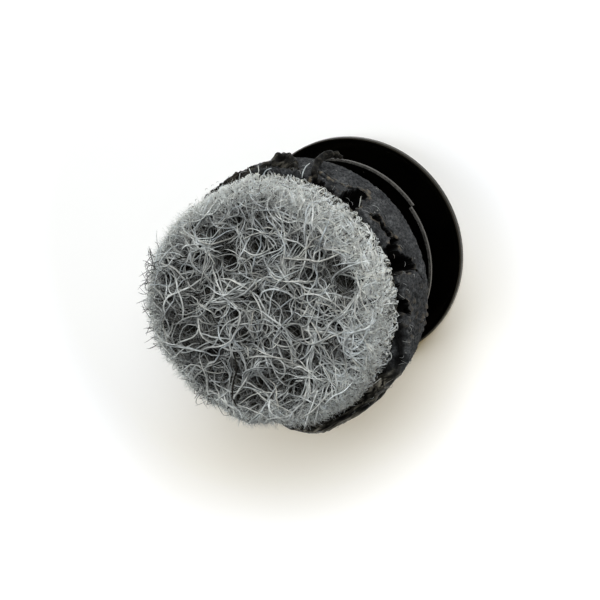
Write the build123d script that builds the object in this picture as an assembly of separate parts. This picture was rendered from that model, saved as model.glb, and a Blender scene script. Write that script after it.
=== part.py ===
from build123d import *
from math import cos, exp, radians, sin
import os

# Felt chair leg tip, modelled as three pieces that come apart on a bench:
#   plug_body       black moulding: flange, neck, split collar and head
#   rubber_cushion  dark torn rubber ring-block that the head is pressed into
#   felt_pad        grey felt disc glued to the front of the cushion
# All sizes are in millimetres. The tip stands on its flange with the felt upwards.
# The origin is the centre of the flange's flat underside and +Z runs towards the felt.
# The ragged side that shows in the photo faces -Y.

# Flange, the round disc that meets the leg
flange_radius = 10.0
flange_thickness = 0.9
flange_front_round = 0.4
flange_back_chamfer = 0.15

# Neck, the plain shaft between the flange and the head
neck_radius = 4.5
neck_fillet = 0.5
neck_top_chamfer = 0.4

# Collar, a thin fin moulded in two halves that sit at slightly different heights
collar_radius = 8.9
collar_thickness = 0.5
collar_edge_chamfer = 0.12
collar_above_flange = 3.33
collar_step = 0.6
collar_seam_angle = -87.5

# Head, the plate that is pressed into the cushion's pocket
neck_length = 10.5
head_radius = 8.0
head_thickness = 2.0
head_chamfer = 0.3

# Cushion, an uneven block of rubber with a lip torn outwards on its -X side and a worn +X side
pocket_clearance = 0.08
cushion_thickness = 5.6
cushion_radius = 10.7
cushion_back_off_centre = 0.42
cushion_waist = 0.12
cushion_ripple = 0.14
lip_reach = 1.0
lip_thickness = 1.2
worn_direction = 12.0
worn_spread = 26.0
worn_depth = 0.95
outline_points = 36

# Shape of the torn lip: direction in degrees and share of the lip's reach there
lip_shape = [
    (138.0, 0.0),
    (150.0, 0.6),
    (156.0, 0.92),
    (166.0, 1.02),
    (176.0, 0.75),
    (183.0, 0.53),
    (191.0, 0.43),
    (197.0, 0.58),
    (204.0, 0.75),
    (210.0, 1.08),
    (216.0, 1.15),
    (222.0, 0.55),
    (230.0, 0.0),
]

# Pits torn out of the cushion's side under the felt
# Each one is its direction in degrees, width, height and depth
torn_pits = [
    (-70.8, 1.8, 3.3, 2.1),
    (-85.5, 1.4, 1.8, 0.9),
    (-94.0, 1.2, 2.3, 0.7),
    (-104.5, 2.5, 3.4, 2.6),
    (-122.5, 2.0, 1.9, 1.1),
    (-142.0, 3.2, 1.5, 1.2),
]
pit_taper = 14.0
pit_overshoot = 0.6

# Knob of rubber squeezed out beside the felt, with a small dimple in it
knob_radius = 0.8
knob_direction = -35.5
knob_below_front = 1.2
knob_sunk = 0.35
knob_dimple_radius = 0.35
knob_dimple_depth = 0.4
knob_dimple_rise = 0.35

# Curl of rubber, a torn strand that stands off the side like a hook
curl_direction = -52.0
curl_radius = 1.2
curl_width = 0.42
curl_stand_off = 0.7
curl_root = 0.5
curl_sweep = 200.0
curl_below_front = 3.2

# Felt disc, a little narrower than the cushion and again at its worn front
felt_thickness = 3.2
felt_inset = 0.42
felt_taper = 0.48
felt_edge_round = 0.7

# How far wear has moved the felt's edge: direction in degrees and move outwards
felt_wear = [
    (-180.0, 0.18),
    (-154.0, 0.12),
    (-130.0, 0.05),
    (-112.0, 0.05),
    (-93.0, -0.05),
    (-73.0, -0.16),
    (-35.0, -0.22),
    (-22.0, -0.34),
    (-8.0, -0.55),
    (8.0, -0.48),
    (22.0, -0.15),
    (42.0, 0.10),
    (62.0, 0.50),
    (78.0, 0.38),
    (92.0, 0.12),
    (122.0, 0.12),
    (134.0, 0.30),
    (145.0, -0.05),
    (160.0, 0.10),
    (180.0, 0.18),
]

# Six-sided dips that rubbing has opened in the felt's face, by the x and y of their middles
felt_dips = [
    (5.5, 2.2),
    (4.3, 0.3),
    (4.2, -2.6),
    (5.8, 6.0),
    (3.4, 3.4),
    (1.2, -0.1),
    (2.2, -5.3),
    (-0.1, -5.1),
    (-2.1, -7.4),
    (-3.2, -1.3),
    (-2.9, 1.4),
    (-6.9, 1.6),
    (-5.0, 4.0),
    (0.5, 2.5),
    (1.5, 6.6),
    (-4.7, -4.6),
    (7.0, -2.0),
    (-1.1, 6.2),
]
felt_dip_mouth = 1.0
felt_dip_floor = 0.45
felt_dip_depth = 0.4

# Slow waves that make an outline uneven: waves per turn, share, start angle
edge_waves = [(2, 0.45, 20.0), (5, 0.35, 140.0), (9, 0.20, 65.0)]

# Heights that follow from the sizes above
collar_bottom = flange_thickness + collar_above_flange
head_bottom = flange_thickness + neck_length
head_top = head_bottom + head_thickness
cushion_bottom = head_bottom
cushion_top = cushion_bottom + cushion_thickness
lip_bottom = cushion_top - lip_thickness
waist_height = (cushion_bottom + lip_bottom) / 2
waist_radius = cushion_radius - cushion_waist
waist_off_centre = cushion_back_off_centre / 2
felt_radius = cushion_radius - felt_inset
felt_front_radius = felt_radius - felt_taper
felt_top = cushion_top + felt_thickness

# The cushion's outlines from back to front
# Each one is its height, radius, shift towards -X and its shares of the waves, the lip and the wear
cushion_levels = [
    (cushion_bottom, cushion_radius, cushion_back_off_centre, 0.4, 0.0, 0.0),
    (waist_height, waist_radius, waist_off_centre, 1.0, 0.1, 0.2),
    (lip_bottom, cushion_radius, 0.0, 1.0, 0.8, 0.8),
    (cushion_top, cushion_radius, 0.0, 1.0, 1.0, 1.0),
]


def unevenness(angle):
    """Height of the slow waves at a direction, between about -1 and 1."""
    return sum(share * sin(radians(count * angle + start)) for count, share, start in edge_waves)


def read_table(table, angle):
    """Value at a direction on straight lines between a table's stops, and 0 outside them."""
    for (left, low), (right, high) in zip(table, table[1:]):
        if left <= angle <= right:
            return low + (high - low) * (angle - left) / (right - left)
    return 0.0


def worn_share(angle):
    """Share of the cushion's wear at a direction: 1 at its middle, fading to 0 either side."""
    apart = (angle - worn_direction + 180.0) % 360.0 - 180.0
    return exp(-((apart / worn_spread) ** 2))


def closed_outline(reaches, height, off_centre):
    """A closed outline through one reach for each of the given directions."""
    points = []
    for angle, reach in reaches:
        x = reach * cos(radians(angle)) - off_centre
        y = reach * sin(radians(angle))
        points.append((x, y, height))
    return make_face(Spline(*points, periodic=True))


def cushion_outline(height, radius, off_centre, wave_share, lip_share, wear_share):
    """The cushion's outline at a height, whose radius carries the waves, the lip and the wear."""
    reaches = []
    for step in range(outline_points):
        angle = 360.0 * step / outline_points
        reach = radius + wave_share * cushion_ripple * unevenness(angle)
        reach = reach + lip_share * lip_reach * read_table(lip_shape, angle)
        reach = reach - wear_share * worn_depth * worn_share(angle)
        reaches.append((angle, reach))
    return closed_outline(reaches, height, off_centre)


def felt_outline(radius, height):
    """The felt's outline, whose radius carries the wear of its edge."""
    reaches = []
    for step in range(outline_points):
        angle = 360.0 * step / outline_points - 180.0
        reaches.append((angle, radius + read_table(felt_wear, angle)))
    return closed_outline(reaches, height, 0.0)


def shaft_and_plates():
    """Flange, neck and head as one turned shape."""
    section = make_face(
        Polyline(
            (0, 0),
            (flange_radius, 0),
            (flange_radius, flange_thickness),
            (neck_radius, flange_thickness),
            (neck_radius, head_bottom),
            (head_radius, head_bottom),
            (head_radius, head_top),
            (0, head_top),
            close=True,
        )
    )
    rounds = [
        (flange_radius, flange_thickness, flange_front_round),
        (neck_radius, flange_thickness, neck_fillet),
    ]
    for x, y, radius in rounds:
        section = fillet(section.vertices().sort_by_distance((x, y, 0))[0], radius)
    bevels = [
        (flange_radius, 0, flange_back_chamfer),
        (neck_radius, head_bottom, neck_top_chamfer),
        (head_radius, head_top, head_chamfer),
    ]
    for x, y, length in bevels:
        section = chamfer(section.vertices().sort_by_distance((x, y, 0))[0], length)
    return revolve(Plane.XZ * section, Axis.Z)


def half_collar(side, bottom):
    """Half of the thin fin: a half disc on one side of the moulding's seam."""
    disc = Cylinder(collar_radius, collar_thickness, align=(Align.CENTER, Align.CENTER, Align.MIN))
    disc = chamfer(disc.edges().filter_by(GeomType.CIRCLE), collar_edge_chamfer)
    cutter = Box(
        2 * collar_radius,
        collar_radius,
        collar_thickness,
        align=(Align.CENTER, Align.MIN if side > 0 else Align.MAX, Align.MIN),
    )
    return Pos(0, 0, bottom) * Rot(0, 0, collar_seam_angle) * (disc & cutter)


def plug_body():
    """The black moulding: turned shape with the two staggered half fins."""
    near_half = half_collar(1, collar_bottom)
    far_half = half_collar(-1, collar_bottom + collar_step)
    return shaft_and_plates() + near_half + far_half


def torn_pit(direction, width, height, depth):
    """A ragged five-sided pit, cut towards the axis and narrowing inwards."""
    mouth = make_face(
        Polyline(
            (-0.50 * width, pit_overshoot),
            (0.50 * width, pit_overshoot),
            (0.36 * width, -0.42 * height),
            (0.06 * width, -height),
            (-0.44 * width, -0.58 * height),
            close=True,
        )
    )
    outside = cushion_radius + cushion_ripple + lip_reach
    reach = outside - cushion_radius + depth
    cutter = extrude(mouth, -reach, taper=pit_taper)
    facing_out = Plane(
        origin=(outside * cos(radians(direction)), outside * sin(radians(direction)), cushion_top),
        x_dir=(-sin(radians(direction)), cos(radians(direction)), 0),
        z_dir=(cos(radians(direction)), sin(radians(direction)), 0),
    )
    return facing_out * cutter


def knob():
    """A squeezed-out lump of rubber, sunk half into the side, and the dimple in it."""
    reach = cushion_radius - knob_sunk * knob_radius
    height = cushion_top - knob_below_front
    away_x = cos(radians(knob_direction))
    away_y = sin(radians(knob_direction))
    centre = Vector(reach * away_x, reach * away_y, height)
    lump = Pos(centre) * Sphere(knob_radius)
    outward = Vector(away_x, away_y, knob_dimple_rise).normalized()
    mouth = Plane(origin=centre + outward * knob_radius, z_dir=outward)
    dimple = mouth * Cylinder(knob_dimple_radius, 2 * knob_dimple_depth)
    return lump, dimple


def curl():
    """A flat bent strand: part of a ring on the side, with its root inside the block."""
    strand = Circle(curl_radius + curl_width / 2) - Circle(curl_radius - curl_width / 2)
    missing = 360.0 - curl_sweep
    far = 2 * curl_radius
    for step in range(2):
        turn = -90.0 + (step - 0.5) * missing / 2
        wedge = make_face(
            Polyline(
                (0, 0),
                (far * cos(radians(turn - missing / 4)), far * sin(radians(turn - missing / 4))),
                (far * cos(radians(turn + missing / 4)), far * sin(radians(turn + missing / 4))),
                close=True,
            )
        )
        strand = strand - wedge
    reach = waist_radius + cushion_ripple * unevenness(curl_direction) + curl_stand_off
    side = Plane(
        origin=(
            reach * cos(radians(curl_direction)) - waist_off_centre,
            reach * sin(radians(curl_direction)),
            cushion_top - curl_below_front,
        ),
        x_dir=(-sin(radians(curl_direction)), cos(radians(curl_direction)), 0),
        z_dir=(cos(radians(curl_direction)), sin(radians(curl_direction)), 0),
    )
    return side * extrude(strand, -(curl_stand_off + curl_root))


def rubber_cushion():
    """The torn block: lofted uneven outlines, pocket, pits, knob and curl."""
    block = loft([cushion_outline(*level) for level in cushion_levels], ruled=True)
    lump, dimple = knob()
    block = block + lump - dimple + curl()
    for direction, width, height, depth in torn_pits:
        block = block - torn_pit(direction, width, height, depth)
    pocket = Pos(0, 0, cushion_bottom) * Cylinder(
        head_radius + pocket_clearance,
        head_thickness,
        align=(Align.CENTER, Align.CENTER, Align.MIN),
    )
    return block - pocket


def felt_dip(x, y):
    """A shallow dip that narrows downwards; its mouth starts a little above the felt's face."""
    slope = (felt_dip_mouth - felt_dip_floor) / felt_dip_depth
    above = 0.25 * felt_dip_depth
    mouth = Pos(x, y, felt_top + above) * RegularPolygon(felt_dip_mouth + slope * above, 6)
    floor = Pos(x, y, felt_top - felt_dip_depth) * RegularPolygon(felt_dip_floor, 6)
    return loft([floor, mouth], ruled=True)


def felt_pad():
    """The felt disc: tapers to its worn front, with a soft rounded rim and dips in its face."""
    rim_bottom = felt_top - felt_edge_round
    rim_radius = felt_front_radius + felt_taper * felt_edge_round / felt_thickness
    rim_bend = (1 - cos(radians(45))) * felt_edge_round
    disc = loft(
        [
            felt_outline(felt_radius, cushion_top),
            felt_outline(rim_radius, rim_bottom),
            felt_outline(felt_front_radius - rim_bend, felt_top - rim_bend),
            felt_outline(felt_front_radius - felt_edge_round, felt_top),
        ],
        ruled=True,
    )
    for x, y in felt_dips:
        disc = disc - felt_dip(x, y)
    return disc


pieces = {
    "plug_body": plug_body(),
    "rubber_cushion": rubber_cushion(),
    "felt_pad": felt_pad(),
}

os.makedirs("parts", exist_ok=True)
for name, shape in pieces.items():
    export_step(shape, f"parts/{name}.step")
    print(name, "volume", round(shape.volume, 1), "mm3")
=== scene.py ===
# %% [markdown]
# # A worn felt chair leg tip
# The tip has three pieces: a black moulded plug, a torn rubber cushion and a felt disc. The CAD frame
# already holds them at their real size. This lesson keeps the hard plug as it is and gives it a moulded
# black finish. It builds the rubber and the felt again as fine meshes, because a torn block and a tangle
# of fibres can't be told by a smooth solid. Everything is in metres; sizes that a maker would state are in
# millimetres times mm.

# %% Load the frame
from math import cos, pi, radians, sin
import bpy
import numpy as np
from mathutils import Matrix, Vector


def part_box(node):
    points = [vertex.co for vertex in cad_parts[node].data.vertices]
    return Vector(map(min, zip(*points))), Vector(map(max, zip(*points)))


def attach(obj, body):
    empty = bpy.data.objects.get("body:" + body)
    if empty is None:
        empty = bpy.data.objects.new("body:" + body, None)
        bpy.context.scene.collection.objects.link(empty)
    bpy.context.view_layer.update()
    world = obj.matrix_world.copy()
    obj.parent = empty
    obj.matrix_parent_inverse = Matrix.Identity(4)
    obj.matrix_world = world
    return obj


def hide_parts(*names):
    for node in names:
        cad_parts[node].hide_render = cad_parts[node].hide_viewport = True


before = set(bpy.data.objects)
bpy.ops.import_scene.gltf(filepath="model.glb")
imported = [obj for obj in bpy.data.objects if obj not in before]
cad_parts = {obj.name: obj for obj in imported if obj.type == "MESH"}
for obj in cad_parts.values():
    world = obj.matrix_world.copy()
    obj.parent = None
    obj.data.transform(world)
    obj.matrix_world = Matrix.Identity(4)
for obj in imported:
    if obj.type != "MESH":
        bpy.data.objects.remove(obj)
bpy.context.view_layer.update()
mm = 0.001
felt_back, felt_front = (corner[2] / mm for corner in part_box("felt_pad"))
rubber_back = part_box("rubber_cushion")[0][2] / mm
head_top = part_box("plug_body")[1][2] / mm
print("felt from", round(felt_back, 2), "to", round(felt_front, 2), "mm; rubber from", round(rubber_back, 2))

# %% [markdown]
# ## Camera
# The photograph looks down at the felt about 28 degrees off the tip's axis, with the camera rolled on its
# side. A long lens could be guessed by eye. Here the round flange, fin and felt were fitted as circles
# seen in perspective, which gives the camera's height, roll and distance, so the outlines fall on the
# right pixels.

# %% Camera
camera_elevation = radians(61.8)
camera_roll = radians(-122.3)
flange_centre_from_camera = Vector((4.95, 4.59, -176.3)) * mm
image_size = 600
focal_length = 120.0
sensor_width = 36.0
pixels_per_slope = image_size * focal_length / sensor_width

camera_data = bpy.data.cameras.new("view")
camera_data.lens = focal_length
camera_data.sensor_width = sensor_width
camera_data.clip_start = 5 * mm
camera_turn = Matrix.Rotation(pi / 2 - camera_elevation, 3, "X") @ Matrix.Rotation(camera_roll, 3, "Z")
camera = bpy.data.objects.new("view", camera_data)
camera.matrix_world = Matrix.Translation(-(camera_turn @ flange_centre_from_camera)) @ camera_turn.to_4x4()
bpy.context.scene.collection.objects.link(camera)
bpy.context.scene.camera = camera
bpy.context.scene.view_settings.view_transform = "Standard"
print("camera at", [round(value / mm, 1) for value in camera.matrix_world.translation], "mm")

# %% [markdown]
# ## From pixels to places
# Pores, pale mats, knots and a few single hairs were measured on the photograph. Their places could be
# read off a drawing. Here the fitted camera turns them into millimetres: the sight line through a pixel is
# followed down to the level where the form lies.

# %% Sight lines
def face_spot(across, down, height):
    """Where the sight line through a pixel meets a level: camera place plus line times its length, in mm."""
    middle = image_size / 2
    slopes = ((across - middle) / pixels_per_slope, (middle - down) / pixels_per_slope, -1.0)
    sight = camera_turn @ Vector(slopes)
    place = camera.matrix_world.translation / mm
    return np.array(place + sight * ((height - place[2]) / sight[2]))[:2]


picture_middle = face_spot(image_size / 2, image_size / 2, felt_front)
print("the picture's middle meets the felt at", picture_middle.round(2), "mm")

# %% [markdown]
# ## Inputs of nodes
# A finish is a small graph: places and noises go in, colours and heights come out. Each node could be
# wired by hand in the editor. Writing the graph down makes it repeatable, and one function that sets any
# input, from a number, a colour or another node's output, keeps the rest short.

# %% Setting inputs
def put(tree, socket, value):
    """Sets one input: an output is linked to it, a tuple fills its channels, a number is stored."""
    if isinstance(value, bpy.types.NodeSocket):
        tree.links.new(value, socket)
    elif isinstance(value, tuple):
        socket.default_value = (*value, 1.0)[:len(socket.default_value)]
    else:
        socket.default_value = value


def set_inputs(tree, node, inputs):
    """Sets several inputs of a node by name; returns the node."""
    for name, value in inputs.items():
        put(tree, node.inputs[name], value)
    return node


def new_tree(owner):
    """The emptied node tree of a material or a world."""
    owner.use_nodes = True
    owner.node_tree.nodes.clear()
    return owner.node_tree


def new_material(name):
    """A material with one Principled shader in its tree; returns material, tree and shader."""
    material = bpy.data.materials.new(name)
    tree = new_tree(material)
    return material, tree, tree.nodes.new("ShaderNodeBsdfPrincipled")


def show(tree, shown, kind="Material"):
    """Links a shader to a new output of a material or of the world."""
    output = tree.nodes.new("ShaderNodeOutput" + kind)
    tree.links.new(shown, output.inputs["Surface"])


no_light = (0.0, 0.0, 0.0)
white = (1.0, 1.0, 1.0)
print("black is", no_light, "and white is", white)

# %% [markdown]
# ## Places and noises
# Real wear and dirt have no pattern that repeats. Painted images could hold them, but they would need a
# flat layout of every surface. Noises read at the object's own coordinates need none and stay sharp when
# the camera comes close. Squeezing the coordinates one way draws a noise out into streaks.

# %% Texture nodes
def object_place(tree):
    """The place of a point in the object's own coordinates."""
    return tree.nodes.new("ShaderNodeTexCoord").outputs["Object"]


def split_place(tree, place):
    """The X, Y and Z of a place, as named outputs."""
    return set_inputs(tree, tree.nodes.new("ShaderNodeSeparateXYZ"), {"Vector": place}).outputs


def stretched(tree, place, scale, turn=0.0):
    """A place scaled on each axis and then turned about Z by degrees."""
    node = tree.nodes.new("ShaderNodeMapping")
    turned = (0.0, 0.0, radians(turn))
    return set_inputs(tree, node, {"Vector": place, "Scale": scale, "Rotation": turned}).outputs[0]


def noise(tree, vector, scale, detail=3.0, roughness=0.55):
    """A noise texture read along the given vector; returns its value."""
    inputs = {"Vector": vector, "Scale": scale, "Detail": detail, "Roughness": roughness}
    return set_inputs(tree, tree.nodes.new("ShaderNodeTexNoise"), inputs).outputs["Fac"]


def cell_distance(tree, vector, scale):
    """The distance to the middle of the nearest cell of a random net."""
    node = tree.nodes.new("ShaderNodeTexVoronoi")
    return set_inputs(tree, node, {"Vector": vector, "Scale": scale}).outputs["Distance"]


def stored_shade(tree):
    """The colour that is stored on the mesh's points."""
    node = tree.nodes.new("ShaderNodeVertexColor")
    node.layer_name = shade_name
    return node.outputs["Color"]


shade_name = "shade"
print("points store their colour as", shade_name)

# %% [markdown]
# ## Sums, shares and colours
# Between a noise and a colour lies a little arithmetic: where a value is high, how much of one colour
# covers another, how far a bump stands up. A share from 0 to 1 says it each time, made by a ramp or a
# range, and two colours are mixed by it.

# %% Value and colour nodes
def math_node(tree, kind, first, second=0.0):
    """One arithmetic step on outputs or numbers."""
    node = tree.nodes.new("ShaderNodeMath")
    node.operation = kind
    put(tree, node.inputs[0], first)
    put(tree, node.inputs[1], second)
    return node.outputs[0]


def times(tree, first, second):
    """first * second."""
    return math_node(tree, "MULTIPLY", first, second)


def vector_math(tree, kind, first, second=no_light):
    """A number worked out from one or two places, such as a length, a distance or a dot product."""
    node = tree.nodes.new("ShaderNodeVectorMath")
    node.operation = kind
    put(tree, node.inputs[0], first)
    put(tree, node.inputs[1], second)
    return node.outputs["Value"]


def map_range(tree, value, low=0.0, high=1.0, to_low=0.0, to_high=1.0, way="LINEAR"):
    """Carries the span from low to high over to another span, straight or by a smooth step."""
    node = tree.nodes.new("ShaderNodeMapRange")
    node.interpolation_type = way
    inputs = {"Value": value, "From Min": low, "From Max": high, "To Min": to_low, "To Max": to_high}
    return set_inputs(tree, node, inputs).outputs[0]


def ramp(tree, value, stops):
    """A colour ramp through (place, colour) stops; returns its colour."""
    node = tree.nodes.new("ShaderNodeValToRGB")
    elements = node.color_ramp.elements
    while len(elements) < len(stops):
        elements.new(0.5)
    for element, (place, colour) in zip(elements, stops):
        element.position = place
        element.color = (*colour, 1.0)
    put(tree, node.inputs["Fac"], value)
    return node.outputs["Color"]


def mix_colour(tree, share, first, second, way="MIX"):
    """Two colours blended by a share; each may be an output or a plain colour."""
    node = tree.nodes.new("ShaderNodeMix")
    node.data_type = "RGBA"
    node.blend_type = way
    return set_inputs(tree, node, {"Factor": share, "A": first, "B": second}).outputs["Result"]


print("shares run from", no_light[0], "to", white[0])

# %% [markdown]
# ## Shaders
# A shader says how a surface answers light: it glows, scatters, lets light through or mirrors. Most
# finishes need only the one general shader. The floor and the fibres blend two, and small bumps are faked
# on all of them by bending the direction that the surface seems to face.

# %% Shader nodes
def colour_shader(tree, kind, colour):
    """A simple shader of one kind with its colour; returns its output."""
    return set_inputs(tree, tree.nodes.new("ShaderNode" + kind), {"Color": colour}).outputs[0]


def mix_shader(tree, share, first, second):
    """Two shaders blended by a share: first at 0, second at 1."""
    node = tree.nodes.new("ShaderNodeMixShader")
    for place, value in enumerate((share, first, second)):
        put(tree, node.inputs[place], value)
    return node.outputs[0]


def bump(tree, shader, height, distance, strength=1.0):
    """Turns a height into a bumped normal on the shader."""
    node = tree.nodes.new("ShaderNodeBump")
    set_inputs(tree, node, {"Height": height, "Distance": distance, "Strength": strength})
    tree.links.new(node.outputs["Normal"], shader.inputs["Normal"])


print("materials so far:", len(bpy.data.materials))

# %% [markdown]
# ## The white table
# The tip lies in a bright white surround with one soft warm shadow. Turning the lamps up until the table
# burns out would bleach the felt too. Instead the table is a pale diffuse surface that also shows its own
# white to the camera, more of it away from the tip, so a plain light level leaves it white and the shadow
# stays. Less own white near the tip paints the shadow there deeper, and on the shadow's side the lit colour
# turns to cream, a painted warm tint of the shadow, as in the photograph.

# %% Table finish
# low own white near the tip paints the shadow deeper; the cream is a painted warm tint of the shadow
painted_shade_white_near = (0.112, 0.072, 0.0)
white_far = (0.56, 0.565, 0.60)
painted_shadow_cream = (0.88, 0.89, 0.885)
lit_white = (0.88, 0.92, 0.98)
painted_shadow_cream_until, white_from = -12 * mm, 2 * mm
shade_centre = (5 * mm, 10 * mm, 0.0)
shade_inner, shade_outer = 19 * mm, 34 * mm

floor_material = bpy.data.materials.new("white_table")
tree = new_tree(floor_material)
place = object_place(tree)
away = vector_math(tree, "DISTANCE", place, shade_centre)
painted_shade_clearing = map_range(tree, away, shade_inner, shade_outer, way="SMOOTHSTEP")
painted_shadow_cream_fade = map_range(tree, split_place(tree, place)["X"], painted_shadow_cream_until, white_from, way="SMOOTHSTEP")
own_white = colour_shader(tree, "Emission", mix_colour(tree, painted_shade_clearing, painted_shade_white_near, white_far))
lit = colour_shader(tree, "BsdfDiffuse", mix_colour(tree, painted_shadow_cream_fade, painted_shadow_cream, lit_white))
both = tree.nodes.new("ShaderNodeAddShader")
put(tree, both.inputs[0], own_white)
put(tree, both.inputs[1], lit)
print("the table clears from", round(shade_inner / mm), "to", round(shade_outer / mm), "mm off the shadow")

# %% [markdown]
# ## The table as light sees it
# The extra white is only for the camera and for mirror-like rays. If it lit the tip too, the felt's
# underside would glow. So light paths tell the two apart, and all other rays meet a plain pale surface.

# %% Table
plain_pale = (0.8, 0.78, 0.74)
floor_size = 1.2
half = floor_size / 2

rays = tree.nodes.new("ShaderNodeLightPath").outputs
seen = math_node(tree, "MAXIMUM", rays["Is Camera Ray"], rays["Is Glossy Ray"])
seen = math_node(tree, "MAXIMUM", seen, rays["Is Transmission Ray"])
show(tree, mix_shader(tree, seen, colour_shader(tree, "BsdfDiffuse", plain_pale), both.outputs[0]))

floor_mesh = bpy.data.meshes.new("table")
corners = [(-half, -half, 0), (half, -half, 0), (half, half, 0), (-half, half, 0)]
floor_mesh.from_pydata(corners, [], [(0, 1, 2, 3)])
floor = bpy.data.objects.new("table", floor_mesh)
floor_mesh.materials.append(floor_material)
bpy.context.scene.collection.objects.link(floor)
print("floor", floor_size, "m square")

# %% [markdown]
# ## The light tent
# The surround is white near the horizon and dark overhead, as in a light tent with an open top. That is
# why flat black faces look pure black while their rims catch a light line. One side of the tent is
# brighter than the other. A photograph of a room could light the scene too, but two ranges and a mix say
# it more simply.

# %% Light tent
tent_dark_above = 0.30
tent_bright_below = 0.02
tent_bright_way = (-0.55, -0.83, 0.0)
tent_white = (1.0, 0.96, 0.88)
tent_dim_share = 0.45

world = bpy.data.worlds.new("light_tent")
bpy.context.scene.world = world
tree = new_tree(world)
direction = tree.nodes.new("ShaderNodeTexCoord").outputs["Generated"]
tent_edge = map_range(tree, split_place(tree, direction)["Z"], tent_bright_below, tent_dark_above)
bright_side = vector_math(tree, "DOT_PRODUCT", direction, tent_bright_way)
side_fade = map_range(tree, bright_side, -0.3, 0.7, tent_dim_share)
tent_wall = mix_colour(tree, side_fade, no_light, tent_white)
tent_colour = mix_colour(tree, tent_edge, tent_wall, no_light)
show(tree, colour_shader(tree, "Background", tent_colour), "World")
print("the tent is dark above a slope of", tent_dark_above)

# %% [markdown]
# ## Three soft lamps
# A key lamp stands high on the right of the picture, a weaker one fills the rubber's side, and one near
# the table lights the rim and the fuzz. Square area lamps give the soft edges that a photographer's
# softboxes give. Glossy surfaces don't mirror them, so that the flange stays black.

# %% Softboxes
lamp_aim = Vector((0, 0, 14 * mm))
softboxes = [
    # name, direction, distance in m, size in m, power in W, colour
    ("key", (0.22, -0.42, 0.88), 0.38, 0.19, 1.10, (0.97, 0.99, 1.0)),
    ("side", (0.35, -0.90, 0.27), 0.35, 0.20, 0.75, (1.0, 0.99, 0.98)),
    ("rim", (0.53, 0.85, 0.13), 0.35, 0.20, 1.70, (1.0, 1.0, 1.0)),
]
for name, towards, distance, size, power, colour in softboxes:
    lamp_data = bpy.data.lights.new(name, "AREA")
    lamp_data.size = size
    lamp_data.energy = power
    lamp_data.color = colour
    lamp = bpy.data.objects.new(name, lamp_data)
    way = Vector(towards).normalized()
    lamp.location = lamp_aim + way * distance
    lamp.rotation_euler = way.to_track_quat("Z", "Y").to_euler()
    lamp.visible_glossy = False
    bpy.context.scene.collection.objects.link(lamp)
print(len(softboxes), "softboxes and a light tent")

# %% [markdown]
# ## Pieces from arrays
# The rubber and the felt have far too many faces to place one by one. A surface is worked out as one array
# of points, and its faces join neighbouring points. One helper turns such arrays into a mesh, stores a
# colour on each point, and lets the piece ride on the tip.

# %% Pieces from arrays
def piece_from_arrays(name, points, quads, triangles, material, colours):
    """A mesh object from points in mm, four-sided and three-sided faces, and a colour for each point."""
    mesh = bpy.data.meshes.new(name)
    corners = np.concatenate([quads.ravel(), triangles.ravel()]).astype(np.int32)
    sizes = np.concatenate([np.full(len(quads), 4), np.full(len(triangles), 3)]).astype(np.int32)
    starts = np.concatenate([[0], np.cumsum(sizes)[:-1]]).astype(np.int32)
    mesh.vertices.add(len(points))
    mesh.vertices.foreach_set("co", (points * mm).astype(np.float32).ravel())
    mesh.loops.add(len(corners))
    mesh.loops.foreach_set("vertex_index", corners)
    mesh.polygons.add(len(sizes))
    mesh.polygons.foreach_set("loop_start", starts)
    mesh.update(calc_edges=True)
    mesh.shade_smooth()
    shade = mesh.color_attributes.new(shade_name, "FLOAT_COLOR", "POINT")
    four = np.ones((len(points), 4), np.float32)
    four[:, :3] = colours
    shade.data.foreach_set("color", four.ravel())
    mesh.materials.append(material)
    piece = bpy.data.objects.new(name, mesh)
    bpy.context.scene.collection.objects.link(piece)
    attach(piece, "root")
    print(name, "has", len(quads) * 2 + len(triangles), "triangles")
    return piece


print("pieces are built in mm and stored in m, times", mm)

# %% [markdown]
# ## Closed grids
# Rubber, lumps, strands and the felt's core are all grids that close round an axis, with one pole point at
# each end. Counting the points row by row gives every face's corners at once.

# %% Closed grids
def turned_grid(rows, columns):
    """Faces of a closed grid of rows round the axis, with one pole point before it and one after it."""
    row, column = np.meshgrid(np.arange(rows - 1), np.arange(columns), indexing="ij")
    beside = (column + 1) % columns
    first = 1 + row * columns
    quads = np.stack(
        [first + column, first + beside, first + columns + beside, first + columns + column], axis=-1
    ).reshape(-1, 4)
    around = np.arange(columns)
    last = 1 + (rows - 1) * columns
    bottom = np.stack([np.zeros_like(around), 1 + (around + 1) % columns, 1 + around], axis=-1)
    pole = np.full_like(around, last + columns)
    top = np.stack([last + around, last + (around + 1) % columns, pole], axis=-1)
    return quads, np.concatenate([bottom, top])


print("a grid of 3 rows and 8 columns has", sum(len(faces) for faces in turned_grid(3, 8)), "faces")

# %% [markdown]
# ## Fibres as tubes
# A fibre is the same idea on a small scale: three points round each step of a path. Hair curves would be
# the usual way in Blender, but they don't travel with an exported model. All fibres of a layer are worked
# out in one go and share one mesh.

# %% Tubes
tube_corners = 3
tip_thinning = 0.65


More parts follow.
